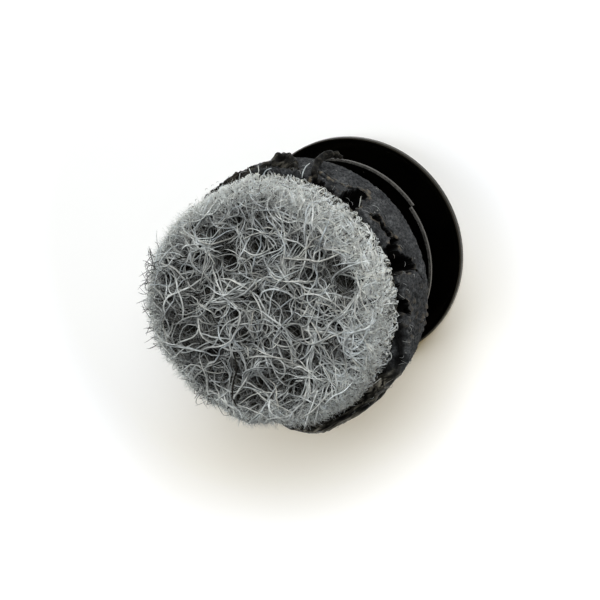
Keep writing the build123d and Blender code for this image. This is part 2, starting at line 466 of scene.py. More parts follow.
def tube_mesh(name, paths, radii, material, colours):
    """Three-sided tubes: point + radius * (cos a * side + sin a * over), thinning at both ends."""
    count, steps = paths.shape[:2]
    along = np.gradient(paths, axis=1)
    along /= np.linalg.norm(along, axis=2, keepdims=True) + 1e-9
    number = np.arange(count)
    lean = np.stack([np.sin(number), np.cos(number * 1.7), np.full(count, 1.3)], axis=-1)
    side = np.cross(along, lean[:, None, :])
    side /= np.linalg.norm(side, axis=2, keepdims=True) + 1e-9
    over = np.cross(along, side)
    place = np.linspace(-1, 1, steps)
    taper = radii[:, None] * (1 - tip_thinning * np.abs(place[None, :]) ** 6)
    angles = (np.arange(tube_corners) * 2 * pi / tube_corners)[:, None]
    spokes = np.cos(angles) * side[:, :, None, :] + np.sin(angles) * over[:, :, None, :]
    points = (paths[:, :, None, :] + taper[:, :, None, None] * spokes).reshape(-1, 3)
    fibre, step, corner = np.meshgrid(number, np.arange(steps - 1), np.arange(tube_corners), indexing="ij")
    ring = (fibre * steps + step) * tube_corners
    here = ring + corner
    beside = ring + (corner + 1) % tube_corners
    quads = np.stack([here, beside, beside + tube_corners, here + tube_corners], axis=-1).reshape(-1, 4)
    start = number * steps * tube_corners
    end = start + (steps - 1) * tube_corners
    first_caps = np.stack([start + 2, start + 1, start], axis=-1)
    last_caps = np.stack([end, end + 1, end + 2], axis=-1)
    shades = np.repeat(colours, tube_corners, axis=1).reshape(-1, 3)
    return piece_from_arrays(name, points, quads, np.concatenate([first_caps, last_caps]), material, shades)


print("a fibre has", tube_corners, "sides")

# %% [markdown]
# ## Noise for shapes
# Shapes need noise as well, and here it moves real points. A sum of many plane waves with random
# directions is smooth, has one main size, and can be made to meet itself round the axis.

# %% Wave noises
wave_spread = (0.7, 1.4)
rubber_radius = 10.7


def wave_noise(generator, around, up, size, count=40):
    """Sum of plane waves about one size long, in mm, that meet themselves round the rubber; about -1 to 1."""
    turn = generator.uniform(0, 2 * pi, count)
    stretch = generator.uniform(*wave_spread, count)
    whole = np.round(2 * pi * rubber_radius * stretch * np.cos(turn) / size)
    climb = 2 * pi * stretch * np.sin(turn) / size
    start = generator.uniform(0, 2 * pi, count)
    total = np.zeros(np.broadcast(around, up).shape)
    for waves, rate, phase in zip(whole, climb, start):
        total += np.cos(waves * around + rate * up + phase)
    return total / np.sqrt(count)


def flat_noise(generator, x, y, size, count=40):
    """Sum of plane waves about one size long, in mm, on a flat face; about -1 to 1."""
    turn = generator.uniform(0, 2 * pi, count)
    rate = 2 * pi * generator.uniform(*wave_spread, count) / size
    start = generator.uniform(0, 2 * pi, count)
    total = np.zeros(np.broadcast(x, y).shape)
    for angle, pace, phase in zip(turn, rate, start):
        total += np.cos(pace * (x * cos(angle) + y * sin(angle)) + phase)
    return total / np.sqrt(count)


def smooth_step(low, high, value):
    """0 below low, 1 above high, and 3t^2 - 2t^3 between."""
    t = np.clip((value - low) / (high - low), 0, 1)
    return t * t * (3 - 2 * t)


print("smooth step at a quarter:", float(smooth_step(0, 1, 0.25)))

# %% [markdown]
# ## The black plug
# The plug is one glossy black moulding. Its solid already has the right shape, so it only needs its
# finish: near-black plastic, a thin uneven polish and a little dust. A warm tint on the reflection gives
# the rims the olive-brown line that the photograph shows.

# %% Plug black
plug_material, tree, shader = new_material("moulded_black")
place = object_place(tree)
cloud = noise(tree, place, 420.0, 4.0)
fine = noise(tree, place, 5200.0, 3.0)
dust = ramp(tree, cell_distance(tree, place, 1500.0), [(0.0, white), (0.11, no_light)])
sparse = ramp(tree, noise(tree, place, 900.0), [(0.58, no_light), (0.68, white)])
dust_share = times(tree, times(tree, dust, sparse), 0.35)
black = ramp(tree, cloud, [(0.35, (0.0003, 0.0003, 0.0002)), (0.75, (0.0008, 0.0007, 0.0005))])
plug_colour = mix_colour(tree, dust_share, black, (0.10, 0.095, 0.085))
print("plug black has", len(tree.nodes), "nodes")

# %% [markdown]
# ## The fin's lit edge
# Between flange and rubber the fin's edge shows as a thin grey line, a painted highlight of the light that
# the edge catches. Its faces stay black. The edge could be a piece of its own. A share from the distance to
# the axis and from the height picks it out of the one moulding, which is how the real one is made.

# %% Fin edge and polish
fin_low, fin_high, fin_edge = 4.0 * mm, 5.5 * mm, 8.72 * mm
level = split_place(tree, place)["Z"]
from_axis = vector_math(tree, "LENGTH", stretched(tree, place, (1.0, 1.0, 0.0)))
fin_painted_highlight = math_node(tree, "GREATER_THAN", from_axis, fin_edge)
fin_painted_highlight = times(tree, fin_painted_highlight, math_node(tree, "GREATER_THAN", level, fin_low))
fin_painted_highlight = times(tree, fin_painted_highlight, math_node(tree, "LESS_THAN", level, fin_high))
# the grey on the fin's edge is a painted highlight
fin_highlight_colour = ramp(tree, fine, [(0.35, (0.018, 0.018, 0.017)), (0.65, (0.050, 0.049, 0.046))])
set_inputs(tree, shader, {
    "Base Color": mix_colour(tree, fin_painted_highlight, plug_colour, fin_highlight_colour),
    "Roughness": map_range(tree, cloud, to_low=0.14, to_high=0.24),
    "Specular Tint": (0.85, 0.74, 0.55),
    "Specular IOR Level": 0.32,
})
bump(tree, shader, fine, 0.004 * mm, 0.6)
show(tree, shader.outputs[0])

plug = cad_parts["plug_body"]
if not plug.material_slots:
    plug.data.materials.append(plug_material)
for slot in plug.material_slots:
    slot.material = plug_material
print("plug finished in", plug_material.name)

# %% [markdown]
# ## The torn rubber block
# Behind the felt sits a block of crumbling rubber. Sculpting would work, but the block is round, so its
# skin is one height map: for every direction and height the radius is the block's own radius, plus slow
# waves, plus crumbs, minus pits. The lip on the far side is torn outwards and folded like a film. Pits are
# ragged ellipses pushed in deeply, and three channels of a stored colour tell the finish where it is painted
# black as shade in pits, creases and the recess, where it is a folded film, and where it is peeled tan,
# partly as a painted highlight on the edges.

# %% Rubber sizes
rubber_waist = 0.12
back_off_centre = 0.42
lip_turns = np.radians([138, 146, 150, 156, 166, 176, 183, 191, 197, 204, 210, 216, 222, 230])
lip_reaches = np.array([0.0, 0.25, 0.60, 0.92, 1.02, 0.75, 0.53, 0.43, 0.58, 0.75, 1.08, 1.15, 0.55, 0.0])
film_turns = np.radians([134, 146, 203, 212])
film_shares = np.array([0.0, 1.0, 1.0, 0.0])
slow_waves = [(2, 0.063, radians(20.0)), (5, 0.049, radians(140.0)), (9, 0.028, radians(65.0))]
worn_direction = radians(12.0)
worn_spread = radians(26.0)
worn_depth = 0.95
pocket_radius = 8.08
rubber_front = felt_back
rubber_columns = 720
side_rows = 78
print("rubber is", round(rubber_front - rubber_back, 2), "mm high and", rubber_radius, "mm in radius")

# %% [markdown]
# ## Torn pits
# Lumps of rubber have broken out of the side. Each hole was measured on the photograph and is listed by
# where it lies, how large and deep it is and how it leans. A list is easier to check against the picture
# than holes drawn by noise.

# %% Torn pits
torn_pits = [
    # direction, drop from the front, half width, half height, depth, lean
    (-70.6, 1.50, 0.60, 1.80, 2.4, 0.02),
    (-73.4, 0.30, 0.55, 0.75, 2.2, 0.00),
    (-66.9, 2.15, 0.40, 0.55, 1.2, 0.00),
    (-58.5, 0.05, 1.05, 0.16, 0.5, 0.00),
    (-83.6, 0.95, 0.44, 0.66, 0.8, 0.20),
    (-87.8, 1.35, 0.54, 0.46, 0.7, 0.00),
    (-92.5, 1.62, 0.46, 0.44, 0.6, 0.30),
    (-95.9, 1.95, 0.30, 0.60, 0.6, 0.00),
    (-102.9, 0.75, 1.15, 1.25, 2.8, -0.50),
    (-106.6, 1.90, 0.72, 1.55, 2.8, 0.20),
    (-109.0, 3.10, 0.32, 0.75, 1.6, 0.20),
    (-112.6, 4.15, 0.10, 0.80, 0.5, 1.20),
    (-119.5, 0.10, 1.05, 0.45, 1.1, 0.00),
    (-124.5, 0.75, 0.60, 0.62, 1.1, 0.20),
    (-128.0, 1.55, 0.26, 0.45, 0.5, 0.30),
    (-149.0, 3.30, 0.90, 0.22, 0.5, 0.30),
    (-33.0, 0.80, 0.70, 0.50, 0.9, 0.00),
    (-20.0, 0.60, 0.90, 0.50, 0.6, 0.00),
]
print(len(torn_pits), "pits, up to", max(pit[4] for pit in torn_pits), "mm deep")

# %% [markdown]
# ## Film and folds
# On one side the lip has been drawn out to a thin film that lies in folds. A triangle wave across the lip
# gives sharp folds with creases between them, painted dark as their shade, which a smooth wave wouldn't.

# %% Film and folds
def turned_from(around, direction):
    """Signed angle between two directions, from -pi to pi."""
    return (around - direction + pi) % (2 * pi) - pi


def film_share(around):
    """1 where the lip is a thin folded film, 0 on the grainy rubber, by direction."""
    return np.interp(around % (2 * pi), film_turns, film_shares)


def folds(around, along):
    """Sharp folds that run along the lip: a triangle wave of the distance across it; and the creases' painted
    shade.
    """
    drift = wave_noise(np.random.default_rng(43), around, along, 3.0)
    line = along / 0.52 + 0.8 * np.sin(3.0 * around + 0.6) + 0.42 * drift
    coarse = 1 - 4 * np.abs((line % 1.0) - 0.5)
    fine = 1 - 4 * np.abs(((2.3 * line + 5.0 * around) % 1.0) - 0.5)
    return coarse + 0.35 * fine, smooth_step(0.0, -0.8, coarse + 0.45 * fine)


print("share of film in the direction of -X:", round(float(film_share(pi)), 2))

# %% [markdown]
# ## The rubber's slow shape
# Seen from far away the block is a cylinder with a slight waist, a torn lip, one worn side and an uneven
# outline. These slow forms come first, so that crumbs and pits can sit on top of them.

# %% Slow shape and pits
def slow_radius(around, rise):
    """Base radius - waist + lip - wear + slow waves, in mm; also how worn and how ragged the place is."""
    swell = np.interp(around % (2 * pi), lip_turns, lip_reaches)
    lip = swell * smooth_step(0.25, 0.9, rise)
    radius = rubber_radius - rubber_waist * np.sin(pi * np.clip(rise, 0, 1)) + lip
    worn = np.exp(-((turned_from(around, worn_direction) / worn_spread) ** 2))
    radius -= worn_depth * worn * smooth_step(0.2, 0.9, rise)
    ragged = smooth_step(0.0, 0.35, rise)
    for count, share, start in slow_waves:
        radius += share * np.sin(count * around + start) * (0.4 + 0.6 * ragged)
    return radius, worn, ragged


def pitted(around, drop, rough):
    """How deep, black and peeled a place is: a pit is a leaning ellipse with a rough edge, painted black
    inside as its shade, in a tan ring that is partly a painted highlight.
    """
    torn, black, peeled = (np.zeros(np.broadcast(around, drop).shape) for _ in range(3))
    for direction, middle_drop, wide, tall, depth, lean in torn_pits:
        across = turned_from(around, radians(direction)) * rubber_radius
        up = middle_drop - drop
        reach = np.sqrt(((across - lean * up) / wide) ** 2 + (up / tall) ** 2) + rough * 0.75
        torn = np.maximum(torn, depth * smooth_step(1.04, 0.86, reach))
        # the pit's inside is painted black as its shade
        black = np.maximum(black, smooth_step(1.15, 1.06, reach))
        # the tan ring round a pit is partly a painted highlight on its edge
        peeled = np.maximum(peeled, smooth_step(1.42, 1.22, reach) * smooth_step(1.08, 1.18, reach))
    return torn, black, peeled


print("lip reaches out by up to", lip_reaches.max(), "mm")

# %% [markdown]
# ## The rubber's skin
# Crumbs, grit and streaks roughen the block, more of them towards the torn front. Where the lip is a film
# they fade out and the folds take over. A shallow recess, painted dark as the shade under the felt, and a
# weathered patch of tan, partly a painted highlight, lie where the photograph shows them.

# %% Rubber skin
recess_direction = radians(-133.0)
recess_ends = (radians(20.0), radians(15.0))
rubber_chance = np.random.default_rng(41)
weathered_direction = radians(-130.0)


def rubber_skin(around, height):
    """Slow shape + crumbs + folds - pits, in mm; and three marks: black painted as shade, sooty film, tan
    edge partly painted as a highlight.
    """
    rise = (height - rubber_back) / (rubber_front - rubber_back)
    drop = rubber_front - height
    radius, worn, ragged = slow_radius(around, rise)
    film = film_share(around) * smooth_step(0.22, 0.42, rise)
    radius += 0.06 * wave_noise(rubber_chance, around, height, 2.4) * (0.3 + 0.7 * ragged)
    streaks = wave_noise(rubber_chance, around, height * 0.3, 0.9)
    crumbs = wave_noise(rubber_chance, around, height, 0.5)
    grit = wave_noise(rubber_chance, around, height, 0.26, count=60)
    radius += (0.045 * streaks + 0.05 * crumbs + 0.03 * grit) * (0.5 + 0.5 * ragged) * (1 - 0.8 * film)
    fold, crease_shade = folds(around, drop)
    radius += film * 0.16 * fold
    rough = 0.17 * wave_noise(rubber_chance, around, height, 1.2)
    rough = rough + 0.05 * wave_noise(rubber_chance, around, height, 0.6)
    torn, black, peeled = pitted(around, drop, rough)
    # the film's creases are painted dark as their shade
    black = np.maximum(black, 0.9 * crease_shade * film)
    recess = smooth_step(*recess_ends, np.abs(turned_from(around, recess_direction)))
    recess = recess * smooth_step(0.95, 0.30, drop + 0.16 * wave_noise(rubber_chance, around, height, 2.0))
    radius -= 0.45 * recess
    # the recess is painted dark as the shade under the felt's edge
    black = np.maximum(black, 0.92 * recess)
    from_weathered = np.abs(turned_from(around, weathered_direction))
    weathered = smooth_step(radians(16), radians(5), from_weathered)
    gritty = wave_noise(np.random.default_rng(44), around, height, 0.8)
    # the weathered tan is partly a painted highlight
    peeled = np.maximum(peeled, 0.45 * weathered * smooth_step(0.1, 0.5, gritty))
    radius += 0.07 * peeled + 0.06 * weathered * gritty
    worn_black = smooth_step(0.05, 0.35, worn) * smooth_step(0.45, 0.75, rise)
    sooty = np.maximum(film, worn_black)
    black = np.maximum(black, 0.78 * worn_black)
    return radius - torn, np.stack([black, sooty, peeled * (1 - black)], axis=-1)


print("recess at", round(recess_direction, 2), "radians")

# %% [markdown]
# ## The rubber's side
# The side is the part that the photograph shows best: torn, folded and rounded over at both edges. It
# could be sculpted. Here the skin function is asked for the radius at every point of a grid, one row for
# each height, because a formula can be measured and changed by its numbers.

# %% Rubber side
around = np.arange(rubber_columns) * 2 * pi / rubber_columns
side_heights = np.linspace(rubber_back, rubber_front, side_rows)
side_radius, side_marks = rubber_skin(around[None, :], side_heights[:, None])
front_round, front_round_depth = 0.22, 0.16
back_round, back_round_depth = 0.12, 0.10
front_edge = 1 - smooth_step(0.0, front_round, rubber_front - side_heights)
side_radius -= (front_round_depth * front_edge**2)[:, None]
back_edge = 1 - smooth_step(0.0, back_round, side_heights - rubber_back)
side_radius -= (back_round_depth * back_edge**2)[:, None]
print("side radius from", round(side_radius.min(), 2), "to", round(side_radius.max(), 2), "mm")

# %% [markdown]
# ## Rubber front, back and pocket
# The block isn't open: the plug's head sits in a pocket at its back, and the felt is glued on its front.
# Rings of points run from the pocket's roof over the back, up the side and over the front edge to a hidden
# middle, so the skin is closed.

# %% Front and back
roof = head_top + 0.01
inner_radii = np.array([3.0, 6.0, pocket_radius, pocket_radius, pocket_radius])
inner_heights = np.array([roof, roof, roof, (roof + rubber_back) / 2, rubber_back])
back_shares = np.linspace(0.15, 0.85, 5)[:, None]
back_radii = back_shares * (side_radius[0] - pocket_radius) + pocket_radius
front_shares = np.concatenate([np.linspace(1.0, 0.86, 13)[1:], [0.79, 0.72]])
front_radii = side_radius[-1] * front_shares[:, None]
front_in = front_radii - side_radius[-1]
front_fold, front_crease_shade = folds(around[None, :], front_in)
front_film = film_share(around)[None, :]
front_sag = 0.03 * wave_noise(rubber_chance, around[None, :], front_radii, 0.9) - 0.03
front_sag = np.minimum(front_sag, 0.0) + front_film * (0.10 * front_fold - 0.16)
front_heights = rubber_front + front_sag * smooth_step(1.0, 0.98, front_shares)[:, None]
every_way = np.ones_like(around)
sunk = rubber_front - 0.05
print("front lies up to", round(float(-front_sag.min()), 2), "mm under the felt's back")

# %% [markdown]
# ## The rubber's points
# All rings have the same number of points, so they stack into one table of radii and one of heights. The
# block leans a little off its centre towards the back, as the real one sits, and a single point closes
# each end.

# %% Rubber points
radii = np.concatenate(
    [inner_radii[:, None] * every_way, back_radii, side_radius, front_radii, 3.0 * every_way[None, :]]
)
heights = np.concatenate([
    inner_heights[:, None] * every_way,
    np.full_like(back_radii, rubber_back),
    side_heights[:, None] * every_way,
    front_heights,
    sunk * every_way[None, :],
])
inner_rows = len(inner_radii)
rise = np.clip((heights - rubber_back) / (rubber_front - rubber_back), 0, 1)
off_centre = back_off_centre * (1 - rise)
off_centre[:inner_rows] = 0.0
rubber_points = np.stack([radii * np.cos(around) - off_centre, radii * np.sin(around), heights], axis=-1)
rubber_points = np.concatenate([[[0, 0, roof]], rubber_points.reshape(-1, 3), [[0, 0, sunk]]])
print("rubber has", len(rubber_points), "points")

# %% [markdown]
# ## What is torn, sooty or peeled
# Colour on worn rubber follows its form: a torn hole is painted black as its shade and a peeled edge is
# tan, partly as a painted highlight. Painting by hand could do it. Here each point stores three numbers
# that the shape has already worked out, so that colour and form always agree.

# %% Rubber marks
first_side = inner_rows + len(back_radii)
marks = np.zeros((*radii.shape, 3))
marks[first_side : first_side + side_rows] = side_marks
marks[first_side + side_rows :] = side_marks[-1]
front_black = side_marks[-1][:, 0] * smooth_step(0.94, 0.99, front_shares)[:, None]
# the front keeps the pits' painted shade at its edge and the creases' painted shade
marks[first_side + side_rows : -1, :, 0] = np.maximum(front_black, 0.9 * front_film * front_crease_shade)
rubber_marks = np.concatenate([[[0, 0, 0]], marks.reshape(-1, 3), [[0, 0, 0]]])
rubber_quads, rubber_caps = turned_grid(len(radii), rubber_columns)
print("marks are stored for", len(rubber_marks), "points")

# %% [markdown]
# ## Rubber finish
# Old rubber is not one grey: the skin is dusty, torn places are painted black as their shade, the folded
# film is smooth and black, and tan crumbs line the peeled edges, partly as a painted highlight. The finish
# mixes those by noise on Object coordinates and by the three stored channels. A noise squeezed along the
# axis draws the streaks that tearing leaves, and the same noises drive the bump.

# %% Grey rubber
rubber_material, tree, shader = new_material("torn_rubber")
place = object_place(tree)
patches = noise(tree, place, 520.0, 4.0)
grains = noise(tree, place, 4600.0, 5.0, 0.7)
streaky = noise(tree, stretched(tree, place, (1.0, 1.0, 0.22)), 2600.0, 4.0, 0.6)
grey = ramp(tree, patches, [(0.30, (0.020, 0.0215, 0.023)), (0.70, (0.052, 0.055, 0.058))])
grain_stops = [(0.34, (0.22, 0.22, 0.23)), (0.50, (0.85, 0.85, 0.85)), (0.70, (2.3, 2.3, 2.25))]
grey = mix_colour(tree, 1.0, grey, ramp(tree, grains, grain_stops), "MULTIPLY")
streak_tint = ramp(tree, streaky, [(0.38, (0.5, 0.5, 0.51)), (0.62, (1.4, 1.39, 1.37))])
grey = mix_colour(tree, 0.75, grey, streak_tint, "MULTIPLY")
print("grey rubber has", len(tree.nodes), "nodes")

# %% [markdown]
# ## Specks and crumbs
# Pale specks of dust sit in loose groups, and tan crumbs line the places where a layer has peeled, partly
# as a painted highlight on the edges. Both are drawn by noise, the crumbs only where the stored marks say
# that the rubber is peeled.

# %% Specks and tan crumbs
channels = tree.nodes.new("ShaderNodeSeparateColor")
put(tree, channels.inputs["Color"], stored_shade(tree))
black_and_painted_shade, film_here, peel_tan_and_painted_highlight = channels.outputs[0], channels.outputs[1], channels.outputs[2]
speck_spots = ramp(tree, cell_distance(tree, place, 2600.0), [(0.12, white), (0.24, no_light)])
speck_where = ramp(tree, noise(tree, place, 1100.0), [(0.54, no_light), (0.62, white)])
speck_share = times(tree, times(tree, speck_spots, speck_where), 0.7)
grey = mix_colour(tree, speck_share, grey, (0.27, 0.27, 0.26))
tan_places = ramp(tree, noise(tree, place, 1500.0, 4.0), [(0.47, no_light), (0.60, white)])
tan_share = times(tree, times(tree, tan_places, peel_tan_and_painted_highlight), 0.6)
grey = mix_colour(tree, tan_share, grey, (0.180, 0.150, 0.105))
print("with specks and crumbs", len(tree.nodes), "nodes")

# %% [markdown]
# ## Film, sheen and painted shade
# The folded film is smoother and shinier than the grainy rubber, and the pale streaks along it are a painted
# sheen. Torn places are painted dull and black as their shade. Both are mixed in last, over all the dirt.

# %% Film sheen and painted shade
film_painted_sheen_streaks = noise(tree, stretched(tree, place, (1.0, 0.12, 1.0)), 3000.0, 4.0, 0.6)
film_black_and_painted_sheen = [(0.38, (0.005, 0.0048, 0.0040)), (0.50, (0.030, 0.0282, 0.0225)), (0.62, (0.230, 0.215, 0.175))]
grey = mix_colour(tree, film_here, grey, ramp(tree, film_painted_sheen_streaks, film_black_and_painted_sheen))
# painted shade of pits, creases and recess, and the curl's and lumps' own black
grey = mix_colour(tree, black_and_painted_shade, grey, (0.0022, 0.0021, 0.002))
relief = math_node(tree, "ADD", grains, times(tree, streaky, 0.9))
smooth_film = math_node(tree, "SUBTRACT", 1.0, times(tree, film_here, 0.8))
set_inputs(tree, shader, {
    "Base Color": grey,
    "Roughness": map_range(tree, film_here, to_low=0.80, to_high=0.48),
    "Specular IOR Level": map_range(tree, black_and_painted_shade, to_low=0.22, to_high=0.0),
})
bump(tree, shader, times(tree, relief, smooth_film), 0.12 * mm, 1.0)
show(tree, shader.outputs[0])

rubber = piece_from_arrays(
    "torn_rubber", rubber_points, rubber_quads, rubber_caps, rubber_material, rubber_marks
)
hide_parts("rubber_cushion")

# %% [markdown]
# ## Lumps of squeezed rubber
# Four lumps stand off the block behind the felt, the largest with a hole in it. Sculpting would give them
# any form. They are small and rounded, so a ball is enough, with its radius disturbed by waves and one
# smooth dent pushed in.

# %% Lumps
def on_side(direction, drop, reach):
    """A point on the rubber's side, and the direction outwards there."""
    outward = np.array([cos(radians(direction)), sin(radians(direction)), 0.0])
    return outward * reach + np.array([0, 0, rubber_front - drop]), outward


def lumpy_ball(name, centre, size, hole_way, hole_width, seed):
    """A ball: radius = size * (1 + waves), pushed in by a smooth dent along one direction."""
    chance = np.random.default_rng(seed)
    rows, columns, waves = 26, 40, 24
    tilt = np.linspace(0, pi, rows + 2)[1:-1][::-1]
    turn = np.arange(columns) * 2 * pi / columns
    across = np.sin(tilt)[:, None]
    up = np.cos(tilt)[:, None] * np.ones(columns)
    way = np.stack([across * np.cos(turn), across * np.sin(turn), up], axis=-1)
    way = np.concatenate([[[0, 0, -1.0]], way.reshape(-1, 3), [[0, 0, 1.0]]])
    push = np.zeros(len(way))
    for _ in range(waves):
        pace = chance.normal(0, 5.0, 3)
        push += np.cos(way @ pace + chance.uniform(0, 2 * pi))
    push = 0.10 * push / np.sqrt(waves / 2)
    hollow = smooth_step(cos(hole_width), cos(hole_width * 0.45), way @ (hole_way / np.linalg.norm(hole_way)))
    points = centre + size * way * (1 + push - 0.75 * hollow)[:, None]
    quads, caps = turned_grid(rows, columns)
    # the dent in a lump is painted darker as its shade
    shade = np.stack([0.72 + 0.28 * hollow, np.full_like(hollow, 0.8), np.zeros_like(hollow)], axis=-1)
    piece = piece_from_arrays(name, points, quads, caps, rubber_material, shade)


lumps = [
    # name, direction, drop, distance from the axis, size, hole towards the front, hole width
    ("squeezed_knob", -36.0, 1.15, 10.62, (0.98, 0.98, 1.02), 0.75, 0.62),
    ("small_knob", -29.5, 0.75, 10.35, (0.55, 0.55, 0.60), 0.20, 0.40),
    ("flat_knob", -42.0, 0.55, 10.50, (0.50, 0.50, 0.40), 0.90, 0.50),
    ("left_crumb", -22.5, 0.45, 10.30, (0.42, 0.45, 0.40), 0.20, 0.40),
]
for number, (name, direction, drop, reach, size, rise, width) in enumerate(lumps):
    centre, outward = on_side(direction, drop, reach)
    lumpy_ball(name, centre, np.array(size), outward + np.array([0, 0, rise]), width, 5 + number)

# %% [markdown]
# ## Curl, peeled edges and folds
# One strand of rubber curls like a hook, and thin edges of peeled layers and folds lie along the side.
# Each is a circle carried along a bent path, thick in the middle and thin at its ends, listed by the stops
# that were measured on the photograph.

# %% Bent paths
def smoothed(stops, steps, rounds):
    """A path through stops in equal steps; each round sets a point to 1/4 before + 1/2 itself + 1/4 after."""
    given, wanted = np.linspace(0, 1, len(stops)), np.linspace(0, 1, steps)
    bent = np.stack([np.interp(wanted, given, stops[:, axis]) for axis in range(3)], axis=-1)
    for _ in range(rounds):
        bent[1:-1] = 0.25 * bent[:-2] + 0.5 * bent[1:-1] + 0.25 * bent[2:]
    return bent


def strand(name, route, thick, marks, seed):
    """A round strand: circle of radius thick * (1 - place^4)^0.5 carried along a smoothed path."""
    steps, sides = 40, 10
    wanted = np.linspace(0, 1, steps)
    bent = smoothed(np.array([on_side(*stop)[0] for stop in route]), steps, 8)
    along = np.gradient(bent, axis=0)
    along /= np.linalg.norm(along, axis=1, keepdims=True)
    side = np.cross(along, bent * np.array([1, 1, 0]))
    side /= np.linalg.norm(side, axis=1, keepdims=True)
    over = np.cross(along, side)
    chance = np.random.default_rng(seed)
    wobble = 1 + 0.16 * np.interp(wanted, np.linspace(0, 1, 14), chance.normal(0, 1, 14))
    width = thick * wobble * np.maximum(1 - (2 * wanted - 1) ** 4, 0.02) ** 0.5
    turn = np.arange(sides) * 2 * pi / sides
    ring = np.cos(turn)[:, None] * side[:, None, :] + np.sin(turn)[:, None] * over[:, None, :]
    points = (bent[:, None, :] + width[:, None, None] * ring).reshape(-1, 3)
    points = np.concatenate([bent[:1], points, bent[-1:]])
    quads, caps = turned_grid(steps, sides)
    piece = piece_from_arrays(name, points, quads, caps, rubber_material, np.full((len(points), 3), marks))


print("a bent path of 3 stops in 5 steps has", smoothed(np.eye(3), 5, 1).shape[0], "points")

# %% [markdown]
# ## The curl, the peels and the folds, one by one
# Each row names one strand, its stops, its thickness and its marks. Degrees round the axis, a drop
# below the felt's back and a distance from the axis are easier to measure on a round block than x, y and
# z are.

# %% Strands
curled_mark = (0.90, 1.0, 0.0)
folded_mark = (0.45, 1.0, 0.0)
# the tan of the peeled strands is partly a painted highlight on their edges
peel_tan_and_highlight_mark = (0.0, 0.0, 1.0)
strands = [
    # name, stops (direction, drop, distance from the axis), thickness, marks
    ("curled_strand", [(-54.5, 0.05, 10.40), (-51.5, 0.60, 10.80), (-49.3, 1.90, 11.10), (-49.0, 2.90, 11.40),
                       (-50.2, 3.70, 11.60), (-52.2, 4.25, 11.60), (-55.0, 4.50, 11.45)],
     0.36, curled_mark),
    ("peel_top", [(-50.5, 1.70, 10.72), (-54.0, 1.10, 10.74), (-58.0, 0.75, 10.72), (-62.5, 0.85, 10.70)],
     0.13, peel_tan_and_highlight_mark),
    ("peel_top_low", [(-53.5, 1.90, 10.66), (-57.0, 1.45, 10.70), (-61.0, 1.30, 10.68), (-65.0, 1.50, 10.66)],
     0.09, peel_tan_and_highlight_mark),
    ("peel_pit", [(-68.0, 2.75, 10.66), (-72.0, 3.00, 10.72), (-76.0, 2.70, 10.72), (-78.0, 1.90, 10.70)],
     0.10, peel_tan_and_highlight_mark),
    ("peel_side", [(-90.0, 2.00, 10.66), (-93.0, 2.35, 10.72), (-95.5, 2.20, 10.74), (-97.0, 2.60, 10.68)],
     0.11, peel_tan_and_highlight_mark),
    ("fold_long", [(-150.0, 2.60, 10.90), (-158.0, 1.70, 11.22), (-167.0, 1.30, 11.42), (-177.0, 1.20, 11.50),
                   (-190.0, 1.30, 11.45)], 0.22, folded_mark),
    ("fold_edge", [(-152.0, 1.30, 10.80), (-160.0, 0.70, 11.15), (-170.0, 0.45, 11.40), (-181.0, 0.40, 11.50),
                   (-196.0, 0.55, 11.40)], 0.20, folded_mark),
    ("fold_spike", [(-146.0, 3.60, 10.60), (-148.5, 3.80, 10.95), (-150.5, 4.10, 11.25)], 0.16, folded_mark),
]
for number, (name, route, thick, marks_here) in enumerate(strands):
    strand(name, route, thick, marks_here, 17 + number)

# %% [markdown]
# ## The felt's surface, unrolled
# Felt is pressed, not woven, so its fibres run every way over the face, round the rim and down the side.
# It helps to unroll that surface: a distance from the middle and a direction give a point on the face,
# then on the rounded rim, then on the side wall, and a height lifts it off along the surface's own outward
# direction. Every fibre is drawn in these flat coordinates and then carried onto the real surface.

# %% Felt profile
felt_radius_back = 10.28
felt_radius_front = 9.80
rim_round = 0.75
rim_steps = 24
bend_angles = np.linspace(pi / 2, 0, rim_steps)
profile_radius = np.concatenate(
    [[0.0], felt_radius_front - rim_round + rim_round * np.cos(bend_angles), [felt_radius_back]]
)
profile_height = np.concatenate(
    [[felt_front], felt_front - rim_round + rim_round * np.sin(bend_angles), [felt_back]]
)
lean_out = np.concatenate([[0.0], np.cos(bend_angles), [1.0]])
lean_up = np.concatenate([[1.0], np.sin(bend_angles), [0.1]])
profile_steps = np.hypot(np.diff(profile_radius), np.diff(profile_height))
profile_length = np.concatenate([[0.0], np.cumsum(profile_steps)])
face_reach = felt_radius_front - rim_round
whole_reach = profile_length[-1]
print("felt is", round(whole_reach, 2), "mm from the middle of its face to its back edge")

# %% [markdown]
# ## Where the felt is worn, open and matted
# Use has worn the outline, opened dark hollows and pressed pale mats. The lists hold what was measured on
# the photograph; the dips are those of the solid. Each spot fades out smoothly round its middle, so no
# edge shows.

# %% Measured spots
worn_turns = np.radians([
    -180, -154, -130, -112, -93, -73, -57, -35, -22, -8, 8, 22, 42, 62, 78, 92, 122, 134, 145, 160, 180,
])
worn_extra = np.array([
    0.18, 0.12, 0.05, 0.05, -0.05, -0.16, -0.20, -0.22, -0.34, -0.55, -0.48, -0.15, 0.10, 0.50, 0.38,
    0.12, 0.12, 0.30, -0.05, 0.10, 0.18,
])

